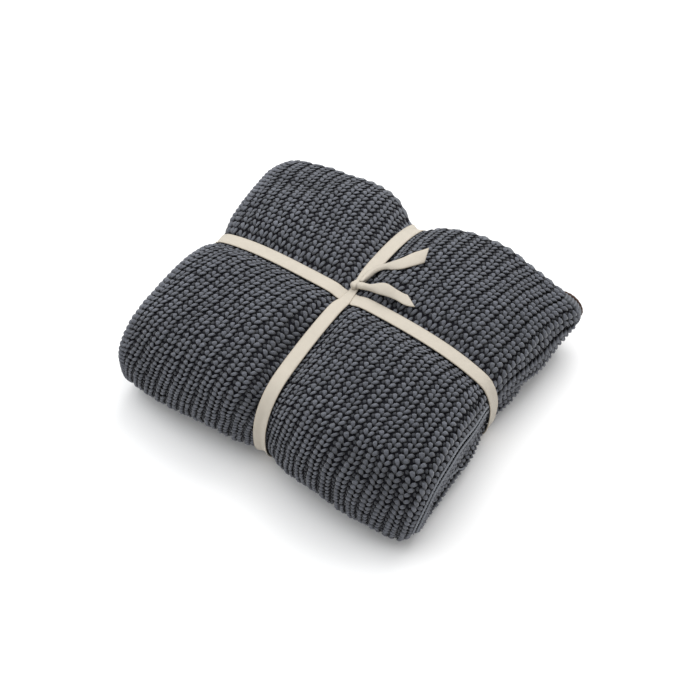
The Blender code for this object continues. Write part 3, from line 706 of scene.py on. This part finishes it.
STITCH_STRAY, BUMP_STRAY = 0.36 * MM, 0.3 * MM      # how far stitches and bumps stray from the grid
TONE_SPREAD, SIZE_SPREAD, TOP_SPREAD = 0.06, 0.07, 0.03   # unevenness of the stitches
FOOT_PAINTED_SHADE, CLEAR_FROM, CLEAR_SPAN = 0.05, 0.20, 0.50      # painted shade: the tone at a stitch's foot, where it meets the cloth, and where it clears
LEG_FOOT = (0.4 * MM, 3.3 * MM)    # a leg's lower end from the stitch's middle, across and along
LEG_HEAD = (4.3 * MM, -3.1 * MM)   # its upper end
# pairs are for left legs and right legs; the tone pair paints the left legs a little lighter, as painted light
LEG_WIDE, LEG_HIGH, LEG_PAINTED_LIGHT = (2.7 * MM, 1.85 * MM), (2.0 * MM, 1.6 * MM), (1.03, 1.0)
LEG_LOW, LEG_TOP = (1.2 * MM, 1.7 * MM), (3.5 * MM, 3.3 * MM)
LEG_BOW, LEG_TILT, LEG_FULLEST, LEG_SWELLING = 0.30 * MM, 0.7 * MM, (0.62, 0.56), (0.75, 0.45)
BUMP_PLACE, BUMP_REACH = (COLUMN / 2, 0.9 * MM), (2.0 * MM, 0.5 * MM)   # its middle and half its length
BUMP_WIDE, BUMP_HIGH, BUMP_LOW, BUMP_TOP = 2.2 * MM, 1.5 * MM, -0.2 * MM, 1.0 * MM
BUMP_PAINTED_SHADE, BUMP_SPREADS = 0.50, (0.15, 0.08)        # its tone, half the legs', as painted shade in the recess, and the unevenness of its top and tone
BEAD_INSET, BEAD_FIRST, BEAD_STRAY = 1.2 * MM, 8.0 * MM, 0.2 * MM   # the selvages' long beads
BEAD_HALF, BEAD_WIDE, BEAD_HIGH, BEAD_LIFT = 3.6 * MM, 3.4 * MM, 4.2 * MM, 0.4 * MM
BEAD_TONE, BEAD_SPREAD, DRAWN_REACH = 0.95, 0.05, 0.012


def stitch_grid(columns, rows):
    """Across and along of every stitch's middle, each nudged a little."""
    across, along = np.meshgrid(FIRST_COLUMN + COLUMN * np.asarray(columns),
                                FIRST_ROW + ROW * np.asarray(rows), indexing="ij")
    middle = np.stack([across.ravel(), along.ravel()], axis=1)
    return middle + rng.normal(0, STITCH_STRAY, middle.shape)


def on_cloth(places):
    """Places on the straight grid, carried by the sway."""
    return np.stack(swayed(places[:, 0], places[:, 1]), axis=1)


def stitches(name, columns, rows, material, sides=6, rings=5, flatter=1.0, origin=0.0):
    """A field of stitches: two legs each, and the bump in the recess after each column.

    Some columns move aside for the double chain, and stitches off the cloth, on the hem or in
    its ridged corner are left out.
    """
    middle = stitch_grid(columns, rows)
    middle[:, 0] += origin
    room = CHAIN_ROOM * smooth((middle[:, 1] - OUTER_CHAIN[0][0]) / CHAIN_FADE)
    middle[:, 0] += room * (np.abs(middle[:, 0] - FLAT_PLY - CHAIN_COLUMNS[0]) < CHAIN_COLUMNS[1])
    place, row = swayed(middle[:, 0], middle[:, 1])
    inset, deep = CORNER_BARE
    corner = (place > CORNER_FROM + inset) & (place < CORNER_TO - inset) & (row < deep)
    middle = middle[(place > EDGE_CLEAR) & (row > HEM_CLEAR) & ~corner]
    count = len(middle)
    groups = []
    tone = rng.normal(1.0, TONE_SPREAD, count)
    size = rng.normal(1.0, SIZE_SPREAD, count)
    for k, side in enumerate((-1.0, 1.0)):
        spread = rng.normal(1.0, SIZE_SPREAD, count)
        foot, head = (on_cloth(middle + np.stack([side * end[0] * spread, np.full(count, end[1])], axis=1))
                      for end in (LEG_FOOT, LEG_HEAD))
        top = LEG_TOP[k] * flatter * rng.normal(1.0, TOP_SPREAD, count)
        legs = spindles(foot, head, LEG_WIDE[k] * size, LEG_HIGH[k] * size, LEG_LOW[k] * flatter, top,
                        sides, rings, side * LEG_BOW, LEG_FULLEST[k], LEG_SWELLING[k], LEG_TILT)
        groups.append((legs, LEG_PAINTED_LIGHT[k] * tone * rng.normal(1.0, TONE_SPREAD, count)))
    recess = middle + np.array(BUMP_PLACE) + rng.normal(0, BUMP_STRAY, middle.shape)
    reach = np.array(BUMP_REACH)
    bumps = spindles(on_cloth(recess - reach), on_cloth(recess + reach), BUMP_WIDE, BUMP_HIGH, BUMP_LOW,
                     BUMP_TOP * rng.normal(1.0, BUMP_SPREADS[0], count), sides, max(2, rings - 2))
    # the recess bumps are painted darker, as painted shade
    groups.append((bumps, BUMP_PAINTED_SHADE * rng.normal(1.0, BUMP_SPREADS[1], count)))
    return make_piece(name, *joined(groups), material, "knit_yarn")


def selvage_beads(name, across, drawn, material):
    """A chain of long beads down one cut edge of the cloth.

    Where the ribbon crosses the outer ply it is drawn in, as a Gaussian.
    """
    along = np.arange(BEAD_FIRST, CLOTH_LENGTH, ROW)
    place = np.full(len(along), across) + rng.normal(0, BEAD_STRAY, len(along))
    place = place + drawn * np.exp(-((along - RIBBON_AT) / DRAWN_REACH) ** 2)
    start, end = (np.stack([place, along + half], axis=1) for half in (-BEAD_HALF, BEAD_HALF))
    beads = spindles(start, end, BEAD_WIDE, BEAD_HIGH, -BEAD_LIFT, BEAD_LIFT, sides=7, rings=5)
    tone = rng.normal(BEAD_TONE, BEAD_SPREAD, len(along))
    return make_piece(name, *joined([(beads, tone)]), material, "knit_yarn")


def stretches(start, ends, steps):
    """Numbers from start to each of the ends in turn, each stretch with its own step."""
    numbers = [[start]]
    for end, step in zip(ends, steps):
        numbers.append(run(start, end, step)[1:])
        start = end
    return np.concatenate(numbers)


def ground_sheet(material):
    """The cloth itself, a thin closed sheet through both folds; its dark face is painted shade for the recesses,
    its reverse paler.
    """
    across = stretches(0.0, (FLAT_PLY, FLAT_PLY + SIDE_FOLD, CLOTH_WIDTH), GROUND_ACROSS)
    along = stretches(GROUND_FIRST, (TOP_END, FRONT_END, LIES_UNDER, BACK_END, CLOTH_LENGTH), GROUND_ALONG)
    u, v = np.meshgrid(across, np.concatenate([[0.0], along]), indexing="ij")
    points = np.concatenate([folded(u, v, np.full(u.shape, lift)).reshape(-1, 3)
                             for lift in (GROUND_TOP, GROUND_BOTTOM)])
    n, m = u.shape
    i, j = np.meshgrid(np.arange(n - 1), np.arange(m - 1), indexing="ij")
    first = i * m + j
    cell = np.stack([first, first + 1, first + m + 1, first + m], axis=-1).reshape(-1, 4)
    edge = np.concatenate([np.arange(m - 1), (m - 1) + np.arange(n - 1) * m,
                           n * m - 1 - np.arange(m - 1), (n - 1) * m - np.arange(n - 1) * m])
    after = np.roll(edge, -1)
    rim = np.stack([after, edge, edge + n * m, after + n * m], axis=1)
    quads = np.concatenate([cell, cell[:, ::-1] + n * m, rim])
    uv = np.stack([u.ravel()[quads % (n * m)] / COLUMN, v.ravel()[quads % (n * m)] / ROW], axis=-1)
    tone = np.repeat([1.0, REVERSE_TONE], n * m)
    piece = make_piece("knit_ground", points, quads, NO_TRIANGLES, uv, tone, material, "knit_yarn")
    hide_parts("knit_blanket")
    return piece


def hem_band(material):
    """The linked hem: a low rounded band along the cloth's first edge, carried across the cloth.

    It swells as a cosine at the end of every column. Towards the right corner it widens and
    rises, and shows fine ridges as a sine across. Its tone is painted lighter on the swells and
    the ridges' crests and darker in their troughs, as painted light and shade.
    """
    c, s = superellipse(ring_angles(BAND_SIDES), BAND_POWER)
    across = np.concatenate([np.arange(BAND_FIRST, CORNER_FROM, BAND_STEP),
                             np.arange(CORNER_FROM, CORNER_TO, RIDGE_STEP),
                             np.arange(CORNER_TO, CLOTH_WIDTH, BAND_STEP)])
    near = smooth((across - CORNER_FROM) / CORNER_FADE) * smooth((CORNER_TO - across) / CORNER_FADE)
    near = near[:, None]
    straight = np.arange(-0.03, CLOTH_WIDTH + 0.03, 0.001)     # places before the sway, to invert it
    column = np.interp(across, swayed(straight, 0.0)[0], straight)[:, None]
    swell = (1 - near) * HEM_SWELL * np.cos(2 * pi * (column - FIRST_COLUMN) / COLUMN)
    place, half, lift, high = (plain + (corner - plain) * near
                               for plain, corner in zip(BAND_PLAIN, BAND_CORNER))
    u = across[:, None] + 0 * c
    ridge = np.sin(2 * pi * u / CORNER_RIDGE)
    up = lift + high * s + (swell + RIDGE_HIGH * near * ridge) * (s > 0)
    points = folded(u, place + half * c - swell * (c < 0), up).reshape(-1, 3)
    # painted light on the swells and ridge crests, painted shade in the ridge troughs
    tone = (HEM_TONE + near * (RIDGE_TONE + RIDGE_PAINTED_SHADING * ridge) + SWELL_PAINTED_LIGHT * swell).ravel()
    return swept_piece("knit_hem", points, len(across), BAND_SIDES, True, tone, material, "knit_yarn")


def hem_edging(material):
    """The linked edging: a cord of small loops along the hem and round the right corner.

    It lies low behind the hem and rises to the cloth's face at the corner; its radius
    swells as the size of a sine, once for each loop.
    """
    sides, turn = 8, ring_angles(8)
    across = stretches(EDGING_FIRST, (CORNER_FROM, EDGING_LAST), EDGING_STEPS)
    rise = smooth((across - EDGING_RISE[0]) / (EDGING_RISE[1] - EDGING_RISE[0]))
    lift = EDGING_LIFTS[0] + (EDGING_LIFTS[1] - EDGING_LIFTS[0]) * rise
    least, more = EDGING_SWELL
    radius = EDGING_THICK * (least + more * np.abs(np.sin(pi * across / EDGING_LOOP)))
    points = folded(across[:, None] + 0 * turn, EDGING_ALONG + radius[:, None] * np.cos(turn),
                    lift[:, None] + EDGING_OVAL * radius[:, None] * np.sin(turn)).reshape(-1, 3)
    piece = swept_piece("hem_edging_chain", points, len(across), sides, True, 1.0, material, "edging_yarn")
    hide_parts("hem_edging")
    return piece


def swept_piece(name, points, rings, sides, across_cloth, tone, material, slot):
    """A closed tube from its rings, with fans over both ends, that faces outwards.

    Rings that follow each other down the cloth, not across it, give faces that point inwards,
    so those are turned round.
    """
    quads = tube_faces(rings, sides)
    ends = np.arange(1, sides - 1)
    first = np.stack([ends * 0, ends, ends + 1], axis=1)
    triangles = np.concatenate([first, first[:, ::-1] + (rings - 1) * sides])
    if not across_cloth:
        quads, triangles = quads[:, ::-1], triangles[:, ::-1]
    uv = np.stack([quads % sides / sides, quads // sides * UV_STEP], axis=-1).reshape(-1, 2)
    uv = np.concatenate([uv, np.zeros((triangles.size, 2))])
    return make_piece(name, points, quads, triangles, uv, tone, material, slot)


def slit_chain(name, path, aside, material):
    """A thin pale chain of loops, as shows where the knit turns in at the right side.

    A tube down the cloth, beside a given path of places along and across; its radius
    swells as the size of a sine.
    """
    sides, turn = 7, ring_angles(7)
    along = np.arange(path[0][0], path[-1][0], CHAIN_STEP)
    across = FLAT_PLY + np.interp(along, *np.array(path).T) + aside
    least, more = CHAIN_SWELL
    radius = CHAIN_THICK * (least + more * np.abs(np.sin(pi * along / (CHAIN_LOOP * ROW))))
    points = folded(across[:, None] + radius[:, None] * np.cos(turn), along[:, None] + 0 * turn,
                    CHAIN_LIFT + radius[:, None] * np.sin(turn)).reshape(-1, 3)
    return swept_piece(name, points, len(along), sides, False, CHAIN_TONE, material, "knit_yarn")


# ------------------------------------------------------------------ the ribbon

def taut_loop(sides, low, high, turns, power, steps, step=0.005):
    """A rounded rectangle from side to side and low to high, with its outward normals.

    Its corners are superellipse arcs, and points follow each other at even distances.
    """
    outline = []
    for which, level, quarter in ((1, high, 0), (0, high, 1), (0, low, 2), (1, low, 3)):
        turn_out, turn_up = turns[which]
        centre_a = sides[which] - np.sign(sides[which]) * turn_out
        centre_b = level + (turn_up if level == low else -turn_up)
        c, s = superellipse(np.linspace(quarter * pi / 2, (quarter + 1) * pi / 2, steps), power)
        outline.append(np.stack([centre_a + turn_out * c, centre_b + turn_up * s, c, s], axis=1))
    outline = np.concatenate(outline)
    outline = np.concatenate([outline, outline[:1]])
    reach = distances(outline[:, :2])
    at = np.linspace(0, reach[-1], int(reach[-1] / step), endpoint=False)
    loop = np.stack([np.interp(at, reach, outline[:, k]) for k in range(4)], axis=1)
    loop[:, 2:] /= np.linalg.norm(loop[:, 2:], axis=1, keepdims=True)
    return loop, reach[-1]


SECTION = np.linspace(-1, 1, 9)                        # places across the ribbon
ROUND = np.concatenate([SECTION, SECTION[::-1]])       # out over one face, and back over the other


def gathered(a, b):
    """The ribbon's width along the ribs: a Gaussian draws it together at the knot."""
    return 1 - GATHERED * np.exp(-((a - KNOT_CENTRE[1]) / GATHER_REACH) ** 2) * (b > HEIGHT / 2)


def band(name, loop, length, lie_along_x, narrow, material):
    """A closed ribbon: a thin section carried round the loop and shaped.

    The section's edges cup as a cube, and narrow gives its width's share at a place on the loop.
    """
    height = np.repeat([0.0, RIBBON_THICK], SECTION.size) - RIBBON_CUP * np.abs(ROUND) ** 3
    a, b, na, nb = (loop[:, k, None] for k in range(4))
    p, q = a + na * height, b + nb * height
    offset = ROUND * RIBBON_WIDTH / 2 * narrow(a, b)
    if lie_along_x:
        points = np.stack([p, ACROSS_Y + offset + 0 * p, q], axis=-1)
    else:
        points = np.stack([ALONG_X + offset + 0 * p, p, q], axis=-1)
    quads = tube_faces(len(loop), ROUND.size, closed_path=True)
    if not lie_along_x:
        quads = quads[:, ::-1]
    uv = ribbon_uv(quads, len(loop), length)
    return make_piece(name, shape(points), quads, NO_TRIANGLES, uv, 1.0, material, "cotton_ribbon")


def ribbon_uv(quads, stations, length):
    """A ribbon's corner UVs: u is the place across, v the length in ribbon widths.

    In the last quads of a closed loop, the first station counts as one past the last.
    """
    station = quads // ROUND.size
    last = station.max(axis=1, keepdims=True)
    station = station + stations * ((station == 0) & (last == stations - 1))
    return np.stack([(ROUND[quads % ROUND.size] + 1) / 2, station * length / stations / RIBBON_WIDTH],
                    axis=-1)


def smooth_line(points, count):
    """A Catmull-Rom curve through the points, count points long."""
    points = np.asarray(points, float)
    ends = np.concatenate([[2 * points[0] - points[1]], points, [2 * points[-1] - points[-2]]])
    at = np.linspace(0, len(points) - 1, count)
    i = np.minimum(at.astype(int), len(points) - 2)
    t = (at - i)[:, None]
    a, b, c, d = ends[i], ends[i + 1], ends[i + 2], ends[i + 3]
    return 0.5 * (2 * b + (c - a) * t + (2 * a - 5 * b + 4 * c - d) * t ** 2
                  + (3 * b - a - 3 * c + d) * t ** 3)


def tape_between(name, edges, crown, material, count=48):
    """A length of ribbon between two given edges, in millimetres.

    The surface is ruled from edge to edge, raised along its middle by the crown, and given
    the ribbon's thickness along its normal.
    """
    edges = np.array(edges)
    first = smooth_line(edges[:, :3] * MM, count)
    second = smooth_line(edges[:, 3:] * MM, count)
    across = first[:, None] + (second - first)[:, None] * (SECTION[:, None] + 1) / 2
    normal = np.cross(np.gradient(across, axis=1), np.gradient(across, axis=0))
    normal /= np.linalg.norm(normal, axis=2, keepdims=True)
    normal *= np.sign(normal[..., 2:].sum(axis=(0, 1), keepdims=True))
    rise = smooth_line(np.array(crown)[:, None] * MM, count)[:, :, None] * (1 - SECTION ** 2)[:, None]
    middle = across + normal * rise
    half = RIBBON_THICK / 2 * (1 - EDGE_THIN * np.abs(SECTION) ** 4)[:, None]
    points = np.concatenate([middle - normal * half, (middle + normal * half)[:, ::-1]], axis=1)
    points = points.reshape(-1, 3)
    sides, j = ROUND.size, np.arange(SECTION.size - 1)
    cap = np.stack([j, j + 1, sides - 2 - j, sides - 1 - j], axis=1)
    quads = np.concatenate([tube_faces(count, sides), cap, cap[:, ::-1] + (count - 1) * sides])
    if volume_of(points, quads) < 0:
        quads = quads[:, ::-1]
    length = distances(middle[:, SECTION.size // 2])[-1]
    uv = ribbon_uv(quads, count, length)
    return make_piece(name, points, quads, NO_TRIANGLES, uv, 1.0, material, "cotton_ribbon"), length


def volume_of(points, quads):
    """Signed volume inside closed quads."""
    a, b, c, d = (points[quads[:, k]] for k in range(4))
    return ((a * np.cross(b, c)).sum() + (a * np.cross(c, d)).sum()) / 6


TAIL_UPPER = (   # back edge x, y, z, then front edge x, y, z, in millimetres, from the knot out
    (-2.2, 26.1, 112.5, 0.6, 27.3, 110.0), (-3.8, 40.9, 108.8, 2.1, 38.3, 107.2),
    (-2.2, 53.1, 106.3, 3.0, 47.1, 106.3), (1.4, 58.5, 106.5, 5.8, 52.9, 107.3),
    (5.4, 62.3, 108.5, 10.7, 55.6, 110.0), (12.5, 65.8, 114.0, 17.6, 55.9, 113.8),
    (20.9, 72.1, 119.6, 26.4, 58.8, 118.2), (26.8, 79.6, 123.0, 32.6, 64.5, 120.0),
    (32.7, 85.9, 125.0, 37.7, 70.8, 120.5), (37.9, 92.5, 126.0, 42.3, 77.4, 120.3))
TAIL_UPPER_CROWN = (1.6, 2.4, 2.4, 2.2, 1.8, 1.4, 1.0, 0.6, 0.5, 0.4)
TAIL_LOWER = (
    (-2.9, 25.3, 112.0, 0.2, 19.0, 109.5), (3.0, 26.9, 113.0, 8.0, 20.0, 112.0),
    (11.1, 26.1, 117.0, 15.6, 19.4, 116.0), (17.6, 26.9, 122.0, 24.6, 18.5, 119.5),
    (23.3, 29.1, 125.0, 30.5, 19.4, 120.5), (28.3, 30.5, 126.0, 35.7, 20.6, 120.5),
    (33.3, 31.1, 125.0, 39.7, 21.8, 119.8), (38.8, 32.3, 122.0, 45.8, 23.2, 118.6),
    (43.2, 33.5, 120.0, 52.2, 23.6, 117.3), (47.1, 33.9, 119.5, 57.8, 25.0, 116.8),
    (50.2, 34.6, 119.5, 63.5, 27.8, 116.6))
TAIL_LOWER_CROWN = (1.8, 1.8, 1.6, 1.2, 0.8, 0.6, 0.5, 0.4, 0.4, 0.3, 0.3)
KNOT_CENTRE, KNOT_RADII = np.array((-3.6, 24.0, 107.8)) * MM, np.array((6.4, 4.6, 4.2)) * MM
KNOT_TURN = radians(58)      # the wrap lies askew over the crossing
KNOT_POWER, KNOT_WAIST, KNOT_PAD = 2.4, 0.16, 0.16     # its roundness, waist, and extra girth
KNOT_PLEATS = ((0.07, 5.2, 0.9, 0.0), (0.05, 11.0, 0.0, 2.0))   # height, pace along, phase, pace round


def knot(material):
    """The knot: a flattened ball whose surface is drawn into folds that run with the wrap.

    It is a superellipsoid. Its girth round the long axis is one plus the pleats, small sines of
    the place along and round that axis, times a waist that is a parabola, plus a pad.
    """
    rings, sides = 19, 36
    polar, turn = np.meshgrid(np.linspace(0, pi, rings)[1:-1], ring_angles(sides), indexing="ij")
    cp, sp = superellipse(polar, KNOT_POWER)
    ct, st = superellipse(turn, KNOT_POWER)
    pleat = 1 + sum(high * np.sin(pace * cp + phase + round_pace * st)
                    for high, pace, phase, round_pace in KNOT_PLEATS)
    girth = pleat * (1 - KNOT_WAIST * (1 - cp ** 2)) + KNOT_PAD
    ball = np.stack([cp, sp * ct * girth, sp * st * girth], axis=-1)
    poles = np.array([[1.0, 0, 0], [-1.0, 0, 0]])
    points = np.concatenate([ball.reshape(-1, 3), poles]) * KNOT_RADII
    c, s = cos(KNOT_TURN), sin(KNOT_TURN)
    points = points @ np.array([[c, s, 0], [-s, c, 0], [0, 0, 1]]) + KNOT_CENTRE
    count = rings - 2
    quads, triangles = tube_faces(count, sides), tip_faces(count, sides)
    if volume_of(points, quads) < 0:
        quads, triangles = quads[:, ::-1], triangles[:, ::-1]
    uv = np.stack([quads // sides / count, quads % sides / sides * 3], axis=-1).reshape(-1, 2)
    uv = np.concatenate([uv, np.full((triangles.size, 2), 0.5)])
    make_piece("ribbon_knot", points, quads, triangles, uv, 1.0, material, "cotton_ribbon")


# ------------------------------------------------------------------ floor, light and camera

def floor():
    """A plain pale floor under the packet."""
    mesh = bpy.data.meshes.new("floor")
    reach, level = 6.0, -0.0006
    mesh.from_pydata([(-reach, -reach, level), (reach, -reach, level), (reach, reach, level),
                      (-reach, reach, level)], [], [(0, 1, 2, 3)])
    material, _, shader = start_material("pale_floor", roughness=0.9, sheen=0.0, specular=0.2)
    set_inputs(shader, {"Base Color": (0.93, 0.93, 0.93, 1)})
    mesh.materials.append(material)
    plane = placed("floor", mesh)


def directions():
    """The camera's right, level forward and forward directions, from its turn and height."""
    turn, height = radians(VIEW_TURN), radians(VIEW_HEIGHT)
    right = np.array([cos(turn), sin(turn), 0.0])
    level = np.array([-sin(turn), cos(turn), 0.0])
    forward = cos(height) * level - sin(height) * np.array([0.0, 0.0, 1.0])
    return right, level, forward


def area_light(name, place, aim, size, power, colour):
    """A square soft light at place, aimed at a point."""
    light = bpy.data.lights.new(name, "AREA")
    light.size, light.energy, light.color = size, power, colour
    lamp = placed(name, light)
    lamp.location = place
    lamp.rotation_euler = (Vector(aim) - Vector(place)).to_track_quat("-Z", "Y").to_euler()


def studio():
    """Soft light from above and behind, an even pale surround, and the camera."""
    world = bpy.data.worlds.new("studio")
    world.use_nodes = True
    set_inputs(world.node_tree.nodes["Background"], {"Color": (1, 1, 1, 1), "Strength": SURROUND})
    bpy.context.scene.world = world
    right, level, forward = directions()
    for name, (back, side, high), size, power, colour in LIGHTS:
        place = back * level + side * right + np.array([0.0, 0.0, high])
        area_light(name, place, LIGHT_AIM, size, power, colour)
    camera = bpy.data.cameras.new("camera")
    camera.sensor_width, camera.lens = 36.0, VIEW_LENS
    camera.clip_start, camera.clip_end = 0.05, 50.0
    eye = placed("camera", camera)
    eye.location = Vector(VIEW_TARGET) - Vector(VIEW_DISTANCE * forward)
    eye.rotation_euler = Vector(forward).to_track_quat("-Z", "Y").to_euler()
    bpy.context.scene.camera = eye
    bpy.context.scene.view_settings.view_transform = "Standard"


# ------------------------------------------------------------------ all of it

def build_knit():
    """The ground sheet and all that is knitted on it."""
    twist = yarn_twist_group()
    yarn = yarn_material("slate_yarn", (0.108, 0.114, 0.133), twist, turns=4.0)
    # near black: painted shade for the recesses between the stitches
    ground = yarn_material("ground_painted_shade", (0.009, 0.009, 0.012), twist, turns=1.0, sheen=0.0, specular=0.1)
    hem_yarn = yarn_material("slate_hem", (0.094, 0.100, 0.112), twist, turns=3.0)
    brown = yarn_material("brown_edging", (0.075, 0.042, 0.030), twist, turns=2.0, sheen=0.1)

    def rows_between(start, end):
        """Numbers of the rows that lie between two distances from the hem."""
        return np.arange(round((start - FIRST_ROW) / ROW), round((end - FIRST_ROW) / ROW))

    sheet = ground_sheet(ground)
    outer, side = np.arange(OUTER_COLUMNS), np.arange(SIDE_COLUMNS, OUTER_COLUMNS)
    last_row = CLOTH_LENGTH - LAST_CLEAR
    fold_middle = FLAT_PLY + SIDE_FOLD + FLAT_X - FOLD_X + FOLD_HALF
    pieces = [
        stitches("stitches_top", outer, rows_between(FIRST_ROW, TOP_END), yarn),
        stitches("stitches_front_turn", outer, rows_between(TOP_END, FRONT_END), yarn),
        stitches("stitches_underside", outer, rows_between(FRONT_END, LIES_UNDER), yarn,
                 sides=5, rings=4, flatter=0.92),
        stitches("stitches_back_turn", outer, rows_between(LIES_UNDER, BACK_END), yarn),
        stitches("stitches_middle_side", side, rows_between(BACK_END, last_row), yarn),
        stitches("stitches_middle_selvage", np.arange(2), rows_between(BACK_END, last_row), yarn,
                 sides=5, rings=4),
        stitches("stitches_side_fold", np.arange(-2, 1), rows_between(FIRST_ROW, last_row), yarn,
                 rings=4, origin=fold_middle + COLUMN / 2 - FIRST_COLUMN),
        selvage_beads("selvage_outer", BEAD_INSET, SELVAGE_DRAWN, yarn),
        selvage_beads("selvage_inner", CLOTH_WIDTH - BEAD_INSET, 0.0, yarn),
        hem_band(hem_yarn),
        slit_chain("slit_chain_upper", OUTER_CHAIN, 0.0, hem_yarn),
        slit_chain("slit_chain_lower", OUTER_CHAIN, CHAIN_APART, hem_yarn),
        slit_chain("slit_chain_middle", MIDDLE_CHAIN, 0.0, hem_yarn),
    ]
    edging = hem_edging(brown)


def build_ribbon():
    """The ribbon both ways round, its knot and both free ends."""
    weave = tape_weave_group()
    tape = tape_material("cream_tape", (0.50, 0.455, 0.385), (0.45, 0.39, 0.30), weave)
    lift = RIBBON_OFF
    loop, length = taut_loop((-HALF_WIDTH - lift, HALF_WIDTH + lift), -lift, HEIGHT + lift,
                             ((SIDE_TURN + lift, LAYER / 2 + lift),) * 2, SIDE_POWER, steps=25)
    across = band("ribbon_across", loop, length, True, lambda a, b: 1.0 + 0 * a, tape)
    lift += RIBBON_OVER
    loop, length = taut_loop((-HALF_DEPTH - lift, HALF_DEPTH + HEM_ROOM + lift), -lift, HEIGHT + lift,
                             ((FRONT_TURN + lift, HEIGHT / 2 + lift), BACK_CORNER), TURN_POWER, steps=31)
    along = band("ribbon_along", loop, length, False, gathered, tape)
    knot(tape)
    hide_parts("ribbon_tie")
    for name, edges, crown in (("ribbon_tail_upper", TAIL_UPPER, TAIL_UPPER_CROWN),
                               ("ribbon_tail_lower", TAIL_LOWER, TAIL_LOWER_CROWN)):
        piece, length = tape_between(name, edges, crown, tape)


build_knit()
build_ribbon()
floor()
studio()
